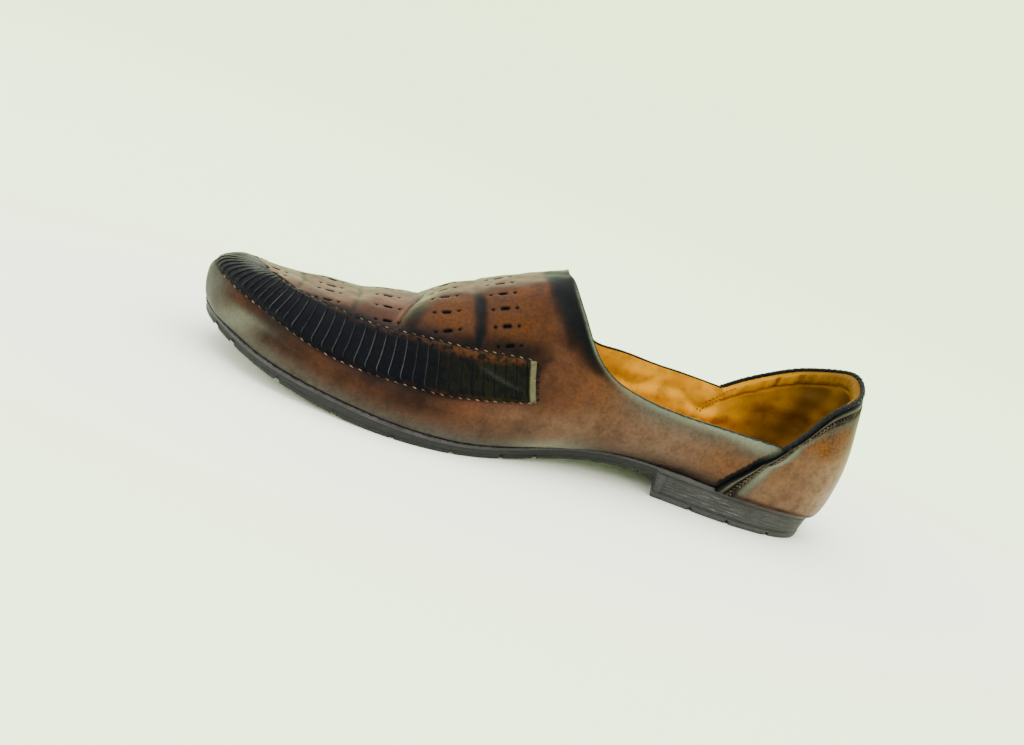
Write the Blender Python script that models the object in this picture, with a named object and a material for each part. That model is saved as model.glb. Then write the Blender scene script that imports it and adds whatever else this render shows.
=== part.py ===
"""Slip-on leather loafer, right shoe, standing empty on its sole.

Frame: metres, +Z up, toe toward -X, heel toward +X, inner (medial) side toward -Y, outer side toward +Y.
The origin is at the middle of the shoe's box, on the floor.

The tables below are in millimetres. Their first column, s, is the distance forward of a mark just behind the
heel; ORIGIN_S is the s of the frame's origin. Every curved piece reads one last shape, last_point(side, tau, v):
tau is 0 at the toe tip and 1 at the heel back, along the feather line where the upper meets the sole, and v is 0
at the feather line and 1 on the crown line above the foot.
"""

import math

import bmesh
import bpy
import numpy as np

MM = 0.001
INNER, OUTER = -1.0, 1.0

# Driving dimensions of the whole shoe, in millimetres.
ORIGIN_S = 152.0
FEATHER_BACK = 6.8
FEATHER_FRONT = 299.4
UPPER_WALL = 1.8
FIT_GAP = 0.35

# Crown line: the toe's sections fan out round (TOE_FAN, crown), the heel's round (HEEL_FAN, crown).
TOE_FAN_START = 215.0
TOE_FAN_PULL = 27.0
HEEL_FAN_END = 112.0
HEEL_FAN_PULL = 33.0
TUCK_SHARE = 0.16

# Half widths of the feather line in plan.
OUTLINE = (
    # s, inner, outer
    (15.0, 22.5, 22.0),
    (30.0, 30.0, 29.8),
    (52.0, 31.2, 32.0),
    (90.0, 26.0, 33.2),
    (120.0, 24.5, 36.0),
    (150.0, 32.5, 42.0),
    (180.0, 46.5, 49.0),
    (208.0, 51.5, 51.5),
    (240.0, 47.0, 48.8),
    (265.0, 38.5, 41.2),
    (284.0, 25.3, 28.0),
    (294.6, 13.6, 16.0),
)

# Height of the feather line, and how far the wall swells out and up from it to its widest.
WALL = (
    # s, feather, inner_out, outer_out, swell_up
    (6.8, 13.0, 3.6, 3.6, 22.0),
    (25.0, 14.4, 3.2, 3.2, 20.0),
    (60.0, 15.0, 3.2, 3.0, 18.0),
    (100.0, 14.9, 7.5, 3.5, 17.0),
    (128.0, 12.0, 9.5, 4.0, 17.0),
    (150.0, 8.2, 8.5, 3.5, 16.0),
    (178.0, 5.9, 2.8, 2.0, 13.0),
    (205.0, 6.1, 1.0, 1.2, 11.0),
    (235.0, 7.9, 0.8, 1.0, 9.0),
    (262.0, 10.4, 0.8, 0.8, 8.5),
    (284.0, 14.4, 1.2, 1.2, 9.0),
    (299.4, 18.6, 2.4, 2.4, 9.5),
)

# Crown line, above the middle of the foot.
CROWN = (
    # s, height, offset
    (39.8, 117.0, 0.0),
    (80.0, 108.0, 0.0),
    (125.0, 90.0, 0.0),
    (145.0, 83.0, 0.0),
    (162.0, 75.8, 0.0),
    (186.0, 63.2, 0.0),
    (206.0, 51.8, -0.6),
    (224.0, 43.8, -1.6),
    (245.0, 39.2, -2.6),
    (272.4, 38.0, -2.8),
)

# Shape of each section over the foot: how much its flanks sink into a saddle, and how boxy it is.
SECTION = (
    # s, saddle, boxiness
    (6.8, 0.00, 1.65),
    (45.0, 0.00, 1.70),
    (80.0, 0.00, 2.1),
    (125.0, 0.40, 2.2),
    (145.0, 0.75, 2.2),
    (162.0, 0.85, 2.2),
    (186.0, 0.88, 2.2),
    (206.0, 0.85, 2.2),
    (224.0, 0.75, 2.2),
    (245.0, 0.60, 2.2),
    (270.0, 0.48, 2.4),
    (286.0, 0.22, 2.8),
    (299.4, 0.00, 3.3),
)


def column(table, index):
    """One column of a table as an array."""
    return np.array([row[index] for row in table])


def spline(knots, values):
    """Natural cubic spline through the knots, as a function of one array. It runs straight on past its ends."""
    knots = np.asarray(knots, float)
    values = np.asarray(values, float)
    step = np.diff(knots)
    slope = np.diff(values) / step
    count = len(knots)
    matrix = np.eye(count)
    right = np.zeros(count)
    for i in range(1, count - 1):
        matrix[i, i - 1] = step[i - 1]
        matrix[i, i] = 2.0 * (step[i - 1] + step[i])
        matrix[i, i + 1] = step[i]
        right[i] = 6.0 * (slope[i] - slope[i - 1])
    bend = np.linalg.solve(matrix, right)

    def curve(x):
        x = np.asarray(x, float)
        i = np.clip(np.searchsorted(knots, x) - 1, 0, count - 2)
        inside = np.clip(x, knots[0], knots[-1])
        a = knots[i + 1] - inside
        b = inside - knots[i]
        h = step[i]
        y = bend[i] * a**3 / (6 * h) + bend[i + 1] * b**3 / (6 * h)
        y += (values[i] / h - bend[i] * h / 6) * a + (values[i + 1] / h - bend[i + 1] * h / 6) * b
        first = slope[0] - step[0] * bend[1] / 6
        last = slope[-1] + step[-1] * bend[-2] / 6
        return y + (x - inside) * np.where(x < knots[0], first, last)

    return curve


def tau_of(s):
    """Place along the feather line of the distance s: half a cosine, so that both ends come out round."""
    share = (np.asarray(s, float) - FEATHER_BACK) / (FEATHER_FRONT - FEATHER_BACK)
    return np.arccos(np.clip(2.0 * share - 1.0, -1.0, 1.0)) / math.pi


def s_of(tau):
    """Distance forward of the back at the place tau of the feather line."""
    half = (FEATHER_FRONT - FEATHER_BACK) / 2.0
    return FEATHER_BACK + half * (1.0 + np.cos(math.pi * np.asarray(tau, float)))


def outline_spline(index):
    """Half width of the feather line over tau, which is nothing at the toe tip and at the heel back."""
    rows = OUTLINE[::-1]
    taus = np.concatenate([[0.0], tau_of(column(rows, 0)), [1.0]])
    widths = np.concatenate([[0.0], column(rows, index), [0.0]])
    return spline(taus, widths)


half_inner = outline_spline(1)
half_outer = outline_spline(2)
feather_height = spline(column(WALL, 0), column(WALL, 1))
swell_inner = spline(column(WALL, 0), column(WALL, 2))
swell_outer = spline(column(WALL, 0), column(WALL, 3))
swell_up = spline(column(WALL, 0), column(WALL, 4))
crown_height = spline(column(CROWN, 0), column(CROWN, 1))
crown_offset = spline(column(CROWN, 0), column(CROWN, 2))
saddle_share = spline(column(SECTION, 0), column(SECTION, 1))
boxiness = spline(column(SECTION, 0), column(SECTION, 2))


def crown_s(s):
    """Where on the crown line the section of the feather point s ends: pulled in at the toe and the heel."""
    toe = np.clip((s - TOE_FAN_START) / (FEATHER_FRONT - TOE_FAN_START), 0.0, 1.0)
    heel = np.clip((HEEL_FAN_END - s) / (HEEL_FAN_END - FEATHER_BACK), 0.0, 1.0)
    return s - TOE_FAN_PULL * toe**3 + HEEL_FAN_PULL * heel**3


def feather_point(side, tau):
    """Plan position (s, y) of the feather line."""
    width = np.where(side < 0, half_inner(tau), half_outer(tau))
    return s_of(tau), side * width


def last_point(side, tau, v):
    """Point (s, y, z) of the upper's outer surface, in millimetres, for arrays of side, tau and v.

    From the feather line the wall swells out along a quarter of an ellipse to its widest. Above that it closes
    over the foot to the crown line: a superellipse, mixed with a bell where the flanks of the instep sink in.
    """
    side, tau, v = np.broadcast_arrays(np.asarray(side, float), tau, v)
    s, y = feather_point(side, tau)
    centre = crown_s(s)
    offset = crown_offset(centre)
    ray_s, ray_y = s - centre, y - offset
    reach = np.hypot(ray_s, ray_y)
    low = feather_height(s)
    out = np.where(side < 0, swell_inner(s), swell_outer(s))
    up = swell_up(s)
    tuck = np.clip(v / TUCK_SHARE, 0.0, 1.0) * math.pi / 2
    close = np.clip((v - TUCK_SHARE) / (1.0 - TUCK_SHARE), 0.0, 1.0) * math.pi / 2
    share = np.cos(close)
    boxy = boxiness(s)
    arch = (1.0 - share**boxy) ** (1.0 / boxy)
    bell = (1.0 - share**3) ** 1.5
    saddle = saddle_share(s)
    rise = (1.0 - saddle) * arch + saddle * bell
    distance = np.where(v < TUCK_SHARE, reach + out * np.sin(tuck), (reach + out) * share)
    height = np.where(
        v < TUCK_SHARE,
        low + up * (1.0 - np.cos(tuck)),
        low + up + (crown_height(centre) - low - up) * rise,
    )
    unit = np.maximum(reach, 1e-9)
    return np.stack([centre + ray_s / unit * distance, offset + ray_y / unit * distance, height], -1)


def last_normal(side, tau, v):
    """Outward unit normal of last_point, from small steps along its two directions."""
    side, tau, v = np.broadcast_arrays(np.asarray(side, float), tau, v)
    step = 1e-4
    v0 = np.clip(v, step, 1.0 - step)
    along = last_point(side, tau + step, v0) - last_point(side, tau - step, v0)
    upward = last_point(side, tau, v0 + step) - last_point(side, tau, v0 - step)
    normal = np.cross(along, upward) * side[..., None]
    return normal / np.linalg.norm(normal, axis=-1, keepdims=True)


def skin_point(side, tau, v, lift):
    """Point of the last surface moved outward by lift millimetres."""
    return last_point(side, tau, v) + last_normal(side, tau, v) * np.asarray(lift, float)[..., None]


# Throat and quarter topline: one U from the inner counter joint round the throat to the outer joint.
# drop is 1 - v, which is nothing on the crown line.
THROAT_S = 155.8
TOPLINE = (
    # s, inner_drop, outer_drop
    (154.7, 0.118, 0.118),
    (152.0, 0.230, 0.230),
    (148.2, 0.315, 0.315),
    (140.3, 0.443, 0.443),
    (131.8, 0.558, 0.558),
    (122.4, 0.662, 0.680),
    (111.0, 0.735, 0.728),
    (97.0, 0.773, 0.758),
    (78.0, 0.780, 0.765),
    (60.0, 0.765, 0.752),
    (40.0, 0.742, 0.735),
)

# Finished top edge of the heel counter, as v over the feather point s, from each joint to the heel back.
COUNTER_TOP_INNER = (
    # s, v
    (42.5, 0.292),
    (37.0, 0.350),
    (30.0, 0.420),
    (22.5, 0.464),
    (15.0, 0.488),
    (9.5, 0.507),
)
COUNTER_TOP_OUTER = (
    # s, v
    (55.0, 0.262),
    (48.0, 0.317),
    (36.8, 0.390),
    (24.5, 0.452),
    (16.5, 0.482),
    (9.5, 0.513),
)
COUNTER_TOP_BACK = 0.530

# Front edge of the counter, from the sole up to its joint with the topline.
COUNTER_FRONT = (
    # share of its height, distance forward of the joint
    (0.00, 22.5),
    (0.32, 19.2),
    (0.58, 10.6),
    (0.76, 5.6),
    (1.00, 0.0),
)
COUNTER_WALL = 1.4
COUNTER_FOOT = 0.03
COUNTER_COLUMNS = 33
COUNTER_ROWS = 9
COUNTER_ROW_BIAS = 1.6
PIPING_RADIUS = 1.1
PIPING_GAP = 0.45
PIPING_OUT = 0.9
RIM_DROP = 3.2

# Apron band: its lower and upper edges round the toe, as v on the last, and where its two ends lie.
BAND = (
    # s, low, high
    (157.0, 0.352, 0.515),
    (176.0, 0.368, 0.555),
    (194.0, 0.374, 0.592),
    (212.0, 0.382, 0.643),
    (230.0, 0.376, 0.683),
    (248.0, 0.384, 0.736),
    (262.0, 0.416, 0.770),
    (275.0, 0.420, 0.800),
    (286.0, 0.378, 0.850),
    (293.5, 0.354, 0.864),
    (299.4, 0.348, 0.868),
)
BAND_END_LOW = 157.3
BAND_END_HIGH = 162.3
BAND_GAP = 0.45
BAND_THICK = 1.0
RIB_DEPTH = 0.6
RIB_COUNT = 52

# Sole: its bottom height, and how far its top and bottom edges stand out of the feather line.
SOLE = (
    # s, bottom, top_out, bottom_out
    (6.8, 9.0, 0.6, -2.4),
    (45.0, 9.4, 0.6, -0.6),
    (98.0, 9.0, 0.8, -0.8),
    (126.0, 5.7, 0.8, -1.4),
    (154.0, 1.1, 0.8, -1.0),
    (182.0, 0.0, 1.2, 0.2),
    (214.0, 0.0, 1.2, 0.4),
    (237.0, 1.5, 1.2, 0.4),
    (262.0, 5.0, 1.2, 0.3),
    (284.0, 9.5, 1.0, 0.0),
    (299.4, 13.4, 0.8, -0.6),
)
BALL_FLAT = (182.0, 214.0)
BREAST_S = 89.5
BREAST_RUN = 2.6
BREAST_HOLLOW = 7.0
BREAST_FADE = 24.0

# Side of the sole: a rim at the top, a recessed panel, and a bottom layer with notches.
HEEL_SIDE = (2.4, 2.6, 0.7)
FORE_SIDE = (1.3, 1.5, 0.35)
NOTCH_RUN = (-0.9, -0.45, 0.45, 0.9)
NOTCH_HEIGHT = 1.3
NOTCHES = (32.6, 53.2, 71.0, 146.3, 162.0, 185.0, 210.7, 235.6, 260.9, 282.8, 291.6)

INSOLE_THICK = 2.4
INSOLE_INSET = 2.5

UPPER_ROWS = (0.0, 0.07, 0.15, 0.24, 0.35, 0.46, 0.57, 0.68, 0.79, 0.90, 1.0)
CROWN_MERGE = 0.8
THROAT_FEATHER = 153.0
THROAT_BLEND = (110.0, 178.0)


def paired_spline(inner_rows, outer_rows, middle):
    """Spline over the signed place side * (1 - tau) behind the shoe, from the inner rows round to the outer."""
    inner = [(-(1.0 - float(tau_of(s))), v) for s, v in inner_rows]
    outer = [(1.0 - float(tau_of(s)), v) for s, v in reversed(outer_rows)]
    rows = np.array(inner + [(0.0, middle)] + outer)
    return spline(rows[:, 0], rows[:, 1])


def throat_curve():
    """The U of the topline as dense rows (s, signed drop), inner side negative, splined along its chord."""
    inner = [(s, -drop) for s, drop, _ in reversed(TOPLINE)]
    outer = [(s, drop) for s, _, drop in TOPLINE]
    rows = np.array(inner + [(THROAT_S, 0.0)] + outer)
    chord = np.hypot(np.diff(rows[:, 0]), 60.0 * np.diff(rows[:, 1]))
    place = np.concatenate([[0.0], np.cumsum(chord)])
    fine = np.linspace(0.0, place[-1], 2001)
    return spline(place, rows[:, 0])(fine), spline(place, rows[:, 1])(fine)


counter_top = paired_spline(COUNTER_TOP_INNER, COUNTER_TOP_OUTER, COUNTER_TOP_BACK)
counter_front = spline(column(COUNTER_FRONT, 0), column(COUNTER_FRONT, 1))
throat_s, throat_drop = throat_curve()
band_low = spline(tau_of(column(BAND, 0))[::-1], column(BAND, 1)[::-1])
band_high = spline(tau_of(column(BAND, 0))[::-1], column(BAND, 2)[::-1])
sole_bottom_curve = spline(column(SOLE, 0), column(SOLE, 1))
sole_top_out = spline(column(SOLE, 0), column(SOLE, 2))
sole_bottom_out = spline(column(SOLE, 0), column(SOLE, 3))


def counter_joint(side):
    """Feather distance s below the point where the counter's front edge meets the topline."""
    return COUNTER_TOP_INNER[0][0] if side < 0 else COUNTER_TOP_OUTER[0][0]


def quarter_top(side, s):
    """v of the throat and quarter topline at the distance s."""
    ours = throat_drop * side >= 0.0
    order = np.argsort(throat_s[ours])
    return 1.0 - np.interp(s, throat_s[ours][order], np.abs(throat_drop[ours][order]))


def v_at_height(side, tau, height):
    """v at which the wall above each feather place tau reaches the height."""
    tau = np.atleast_1d(np.asarray(tau, float))
    fine = np.linspace(0.0, 1.0, 401)
    heights = last_point(side, tau[:, None], fine[None, :])[..., 2]
    wanted = np.broadcast_to(height, tau.shape)
    return np.array([np.interp(z, row, fine) for z, row in zip(wanted, heights)])


def rim_v(side, tau, drop):
    """v of the line that runs drop millimetres below the counter's finished top edge."""
    tau = np.atleast_1d(np.asarray(tau, float))
    finished = counter_top(side * (1.0 - tau))
    height = last_point(side, tau, finished)[..., 2] - drop
    return v_at_height(side, tau, height)


def to_world(points):
    """Rows (s, y, z) in millimetres as world coordinates in metres."""
    points = np.asarray(points, float)
    x = ORIGIN_S - points[..., 0]
    return np.stack([x, points[..., 1], points[..., 2]], -1) * MM


def material(name, colour, roughness, metallic=0.0):
    """A Principled material."""
    made = bpy.data.materials.new(name)
    made.use_nodes = True
    shader = made.node_tree.nodes["Principled BSDF"]
    shader.inputs["Base Color"].default_value = (*colour, 1.0)
    shader.inputs["Roughness"].default_value = roughness
    shader.inputs["Metallic"].default_value = metallic
    return made


def add_grid(bm, points):
    """Adds the quads of a grid of points (columns, rows, 3) in millimetres and returns its vertices."""
    world = to_world(points)
    verts = [[bm.verts.new(p) for p in row] for row in world]
    for one, two in zip(verts, verts[1:]):
        for j in range(len(one) - 1):
            bm.faces.new((one[j], one[j + 1], two[j + 1], two[j]))
    return verts


def finish(name, bm, shader, merge=1e-3):
    """Merges the seams, turns the faces outward and makes the named object."""
    bmesh.ops.remove_doubles(bm, verts=bm.verts, dist=merge * MM)
    bmesh.ops.dissolve_degenerate(bm, edges=bm.edges, dist=1e-4 * MM)
    bmesh.ops.recalc_face_normals(bm, faces=bm.faces)
    highest = max(bm.faces, key=lambda face: face.calc_center_median().z)
    if sum(face.normal.z for vert in highest.verts for face in vert.link_faces) < 0.0:
        bmesh.ops.reverse_faces(bm, faces=bm.faces)
    mesh = bpy.data.meshes.new(name)
    bm.to_mesh(mesh)
    bm.free()
    mesh.shade_smooth()
    mesh.materials.append(shader)
    made = bpy.data.objects.new(name, mesh)
    bpy.context.scene.collection.objects.link(made)
    return made


def shell(name, outer, inner, shader):
    """Closed solid between two grids of the same size: outer skin, inner skin and the four edges."""
    bm = bmesh.new()
    add_grid(bm, outer)
    add_grid(bm, inner)
    for edge in (np.s_[0, :], np.s_[-1, :], np.s_[:, 0], np.s_[:, -1]):
        add_grid(bm, np.stack([outer[edge], inner[edge]], 1))
    return finish(name, bm, shader)


def upper_columns(side):
    """Feather place, top s and top v of each column of the upper's wall, from the toe tip to the heel back."""
    low, high = THROAT_BLEND
    toe = s_of(np.linspace(0.0, float(tau_of(high)), 25))
    bridge = np.linspace(high, THROAT_FEATHER, 5)[1:]
    throat = np.linspace(THROAT_FEATHER, low, 11)[1:]
    joint = counter_joint(side)
    quarter = s_of(np.linspace(float(tau_of(low)), float(tau_of(joint)), 9))[1:]
    heel = s_of(np.linspace(float(tau_of(joint)), 1.0, 13))[1:]
    share = (throat - low) / (THROAT_FEATHER - low)
    start = (THROAT_FEATHER - low) / (THROAT_S - low)
    eased = start * share + (3.0 - 2.0 * start) * share**2 + (start - 2.0) * share**3
    bridge_top = THROAT_S + (bridge - THROAT_FEATHER) * (high - THROAT_S) / (high - THROAT_FEATHER)
    throat_top = low + (THROAT_S - low) * eased
    feather = np.concatenate([toe, bridge, throat, quarter, heel])
    top_s = np.concatenate([toe, bridge_top, throat_top, quarter, heel])
    on_crown = len(toe) + len(bridge)
    behind = len(feather) - len(heel) - 1
    top_v = np.ones(len(feather))
    top_v[on_crown:] = quarter_top(side, top_s[on_crown:])
    top_v[behind:] = rim_v(side, tau_of(feather[behind:]), RIM_DROP)
    return feather, top_s, top_v


def build_upper(shader):
    """Vamp and quarters: one leather wall over the last, open at the throat, the collar and underneath."""
    bm = bmesh.new()
    rows = np.array(UPPER_ROWS)
    for side in (INNER, OUTER):
        feather, top_s, top_v = upper_columns(side)
        shift = (top_s - feather)[:, None] * rows**1.5
        tau = tau_of(feather[:, None] + shift)
        v = top_v[:, None] * rows
        points = last_point(side, tau, v)
        if side > 0:
            points = points[::-1]
        add_grid(bm, points)
    crown = [v for v in bm.verts if abs(v.co.y) < 2.0 * MM and v.co.z > 30.0 * MM and v.co.x < 0.0]
    bmesh.ops.remove_doubles(bm, verts=crown, dist=CROWN_MERGE * MM)
    upper = finish("upper", bm, shader)
    wall = upper.modifiers.new("wall thickness", "SOLIDIFY")
    wall.thickness = UPPER_WALL * MM
    wall.offset = -1.0
    wall.use_even_offset = True
    return upper


def build_counter(shader):
    """Heel counter: an outer cup over the quarters, its front edges slanting up from the sole."""
    across = np.linspace(0.0, 1.0, COUNTER_COLUMNS)[:, None]
    rise = np.linspace(0.0, 1.0, COUNTER_ROWS)[None, :] ** COUNTER_ROW_BIAS
    forward = counter_front(rise)
    inner_edge = -(1.0 - tau_of(counter_joint(INNER) + forward))
    outer_edge = 1.0 - tau_of(counter_joint(OUTER) + forward)
    place = inner_edge + (outer_edge - inner_edge) * across
    side = np.where(place < 0.0, INNER, OUTER)
    tau = 1.0 - np.abs(place)
    top_side, top_tau = side[:, -1], tau[:, -1]
    top = np.where(top_side < 0, rim_v(INNER, top_tau, RIM_DROP), rim_v(OUTER, top_tau, RIM_DROP))
    v = COUNTER_FOOT + (top[:, None] - COUNTER_FOOT) * rise
    outer = skin_point(side, tau, v, FIT_GAP + COUNTER_WALL)
    inner = skin_point(side, tau, v, FIT_GAP)
    return shell("heel_counter", outer, inner, shader)


def build_piping(shader):
    """Rolled piping along the counter's top edge, from joint to joint round the back."""
    ends = [-(1.0 - float(tau_of(counter_joint(INNER)))), 1.0 - float(tau_of(counter_joint(OUTER)))]
    place = np.linspace(ends[0], ends[1], 37)
    side = np.where(place < 0.0, INNER, OUTER)
    tau = 1.0 - np.abs(place)
    rim = np.where(side < 0, rim_v(INNER, tau, RIM_DROP), rim_v(OUTER, tau, RIM_DROP))
    out = last_normal(side, tau, rim)
    seat = skin_point(side, tau, rim, np.full_like(tau, FIT_GAP + PIPING_OUT))
    along = np.gradient(seat, axis=0)
    along /= np.linalg.norm(along, axis=1, keepdims=True)
    up = np.cross(along, out)
    up /= np.linalg.norm(up, axis=1, keepdims=True)
    up *= np.sign(up[:, 2:])
    out = np.cross(up, along)
    centre = seat + (PIPING_RADIUS + PIPING_GAP) * up
    angle = np.linspace(0.0, 2.0 * math.pi, 9)[:-1]
    ring = np.cos(angle)[None, :, None] * out[:, None, :] + np.sin(angle)[None, :, None] * up[:, None, :]
    points = centre[:, None, :] + PIPING_RADIUS * ring
    bm = bmesh.new()
    verts = add_grid(bm, np.concatenate([points, points[:, :1]], 1))
    for end in (verts[0], verts[-1]):
        bm.faces.new(end[:-1])
    return finish("counter_piping", bm, shader)


def build_band(shader):
    """Apron band: a U laid round the toe, pleated into ribs that run across it."""
    count = 2 * RIB_COUNT + 1
    across = np.linspace(0.0, 1.0, 5)[None, :]
    end = tau_of(BAND_END_LOW + (BAND_END_HIGH - BAND_END_LOW) * across)
    place = np.linspace(-1.0, 1.0, count)[:, None] * end
    side = np.where(place < 0.0, INNER, OUTER)
    tau = np.abs(place)
    v = band_low(tau) + (band_high(tau) - band_low(tau)) * across
    rib = np.where(np.arange(count) % 2 == 0, 0.0, RIB_DEPTH)[:, None]
    fade = np.array([0.35, 1.0, 1.0, 1.0, 0.35])[None, :]
    outer = skin_point(side, tau, v, BAND_GAP + BAND_THICK + rib * fade)
    inner = skin_point(side, tau, v, np.full_like(v, BAND_GAP))
    return shell("apron_band", outer, inner, shader)


def plan_normal(side, tau):
    """Outward unit normal (s, y) of the feather line in plan."""
    step = 1e-4
    after, before = feather_point(side, tau + step), feather_point(side, tau - step)
    along = np.stack([after[0] - before[0], after[1] - before[1]], -1)
    normal = np.stack([along[..., 1], -along[..., 0]], -1) * side
    return normal / np.linalg.norm(normal, axis=-1, keepdims=True)


def edge_line(side, tau, out):
    """Plan points (s, y) that stand out millimetres outside the feather line."""
    s, y = feather_point(side, tau)
    return np.stack([s, y], -1) + plan_normal(side, tau) * np.asarray(out, float)[..., None]


def sole_stations():
    """Feather distances of the sole's stations, with four at each notch and two at the heel breast."""
    regular = s_of(np.linspace(0.0, 1.0, 53))
    extra = [notch + run for notch in NOTCHES for run in NOTCH_RUN]
    extra += [BREAST_S, BREAST_S + BREAST_RUN, BALL_FLAT[0], BALL_FLAT[1]]
    clear = [s for s in regular if min(abs(s - e) for e in extra) > 2.0 or s in (regular[0], regular[-1])]
    return np.sort(np.array(clear + extra))[::-1]


def sole_bottom(s):
    """Bottom height of the sole: the heel's flat, the waist and the forefoot with its flat at the ball."""
    curve = np.where((s > BALL_FLAT[0] - 0.01) & (s < BALL_FLAT[1] + 0.01), 0.0, sole_bottom_curve(s))
    return np.where(s < BREAST_S + 0.01, 0.0, np.maximum(curve, 0.0))


def notch_lift(s):
    """How far the bottom edge is cut up at the distance s: the notch height inside each notch."""
    inside = [np.abs(s - notch) < NOTCH_RUN[2] + 0.01 for notch in NOTCHES]
    return np.where(np.any(inside, axis=0), NOTCH_HEIGHT, 0.0)


def build_outsole(shader):
    """The moulded sole: flat top, stepped side, heel block with a hollow breast, and notched bottom."""
    s = sole_stations()
    tau = tau_of(s)
    top = feather_height(s) - FIT_GAP
    bottom = sole_bottom(s)
    heel = (s < BREAST_S + 0.01)[:, None]
    rim, layer, inset = np.where(heel, [HEEL_SIDE], [FORE_SIDE]).T
    heights = [top, top - rim, top - rim - 0.4, bottom + layer + 0.4, bottom + layer, bottom + notch_lift(s)]
    inward = [0.0, 0.0, 1.0, 1.0, 0.0, 0.0]
    bm = bmesh.new()
    edges = {}
    for side in (INNER, OUTER):
        rows = []
        for height, share in zip(heights, inward):
            fall = (top - height) / (top - bottom)
            out = sole_top_out(s) + (sole_bottom_out(s) - sole_top_out(s)) * fall - inset * share
            plan = edge_line(side, tau, out)
            rows.append(np.concatenate([plan, height[:, None]], 1))
        points = np.stack(rows, 1)
        edges[side] = points
        add_grid(bm, points)
    across = np.linspace(0.0, 1.0, 5)[None, :, None]
    add_grid(bm, np.stack([edges[INNER][:, 0], edges[OUTER][:, 0]], 1))
    low = edges[INNER][:, None, -1] * (1.0 - across) + edges[OUTER][:, None, -1] * across
    fade = np.clip(1.0 - np.abs(s - BREAST_S) / BREAST_FADE, 0.0, 1.0)
    low[..., 0] -= BREAST_HOLLOW * fade[:, None] * (1.0 - (2.0 * across[..., 0] - 1.0) ** 2)
    add_grid(bm, low)
    return finish("outsole", bm, shader)


def build_insole(shader):
    """Leather sock on its board, lying on the sole inside the upper."""
    tau = np.linspace(0.0, 1.0, 49)
    edges = []
    for side in (INNER, OUTER):
        plan = edge_line(side, tau, np.full_like(tau, -INSOLE_INSET))
        bottom = np.concatenate([plan, feather_height(plan[:, :1])], 1)
        edges.append(np.stack([bottom, bottom + [0.0, 0.0, INSOLE_THICK]], 1))
    bm = bmesh.new()
    inner, outer = edges
    for strip in (inner, outer, np.stack([inner[:, 0], outer[:, 0]], 1), np.stack([inner[:, 1], outer[:, 1]], 1)):
        add_grid(bm, strip)
    return finish("insole", bm, shader)


def main():
    """Clears the scene and builds the shoe."""
    for old in list(bpy.data.objects):
        bpy.data.objects.remove(old, do_unlink=True)
    build_outsole(material("charcoal_rubber", (0.035, 0.037, 0.042), 0.62))
    build_upper(material("burnished_brown_leather", (0.19, 0.075, 0.03), 0.36))
    build_insole(material("mustard_sock_leather", (0.52, 0.27, 0.06), 0.55))
    build_counter(material("counter_leather", (0.21, 0.085, 0.035), 0.36))
    build_band(material("black_pleated_leather", (0.012, 0.014, 0.02), 0.32))
    build_piping(material("black_piping", (0.012, 0.012, 0.013), 0.35))


if __name__ == "__main__":
    main()
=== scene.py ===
"""Visual model of a slip-on leather loafer for the right foot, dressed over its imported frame.

The shoe stands on its sole: toe towards -X, heel towards +X, inner side towards -Y, +Z up. Sizes are in
millimetres in the shoe's own measures: s is the distance forward of a mark just behind the heel, q is the
signed place along the feather line (0 at the toe tip, -1 and +1 at the back of the heel by the inner and the
outer side), and v runs from the feather line (0) over the foot to the crown line (1).
"""

import logging
import math
from dataclasses import dataclass
from enum import Enum
from functools import reduce
from itertools import product
from typing import Callable, Sequence

import bmesh
import bpy
import numpy as np
from mathutils import Matrix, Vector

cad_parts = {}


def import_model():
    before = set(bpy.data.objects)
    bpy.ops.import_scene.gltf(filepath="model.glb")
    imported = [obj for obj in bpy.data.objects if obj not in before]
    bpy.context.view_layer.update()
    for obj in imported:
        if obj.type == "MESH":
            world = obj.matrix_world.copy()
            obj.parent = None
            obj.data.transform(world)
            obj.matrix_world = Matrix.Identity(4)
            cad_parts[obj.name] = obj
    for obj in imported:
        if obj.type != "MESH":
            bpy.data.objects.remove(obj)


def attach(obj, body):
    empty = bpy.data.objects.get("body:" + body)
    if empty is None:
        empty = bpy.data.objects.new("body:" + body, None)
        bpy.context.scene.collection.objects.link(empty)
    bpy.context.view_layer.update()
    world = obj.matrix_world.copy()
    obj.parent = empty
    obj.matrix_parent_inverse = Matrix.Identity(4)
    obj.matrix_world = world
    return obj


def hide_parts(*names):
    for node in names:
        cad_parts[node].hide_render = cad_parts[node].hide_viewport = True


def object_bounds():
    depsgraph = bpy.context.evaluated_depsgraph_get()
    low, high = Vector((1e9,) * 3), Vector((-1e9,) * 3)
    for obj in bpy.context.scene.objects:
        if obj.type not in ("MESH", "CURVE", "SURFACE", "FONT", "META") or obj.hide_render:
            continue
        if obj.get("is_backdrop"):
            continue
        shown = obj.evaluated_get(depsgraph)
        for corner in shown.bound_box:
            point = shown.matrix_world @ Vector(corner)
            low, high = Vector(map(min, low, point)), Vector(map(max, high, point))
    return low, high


Array = np.ndarray
Rows = tuple[tuple[float, ...], ...]
Colour = tuple[float, float, float]
Noise = tuple[float, float, float]
Curve = Callable[[Array], Array]
Socket = bpy.types.NodeSocket

MM = 0.001
TURN = 2.0 * math.pi
ORIGIN_S = 152.0  # the s that lies at X = 0
WALL_HEIGHT = 72.0  # millimetres over the upper for a whole v, near enough for its tints
NO_HOLE, NO_RIM = 6.0, 9.0  # what the fields hole and rim hold far from one
WELD, STITCH_WELD = 0.002, 0.01  # distances within which points become one
LOG = logging.getLogger("loafer")

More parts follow.
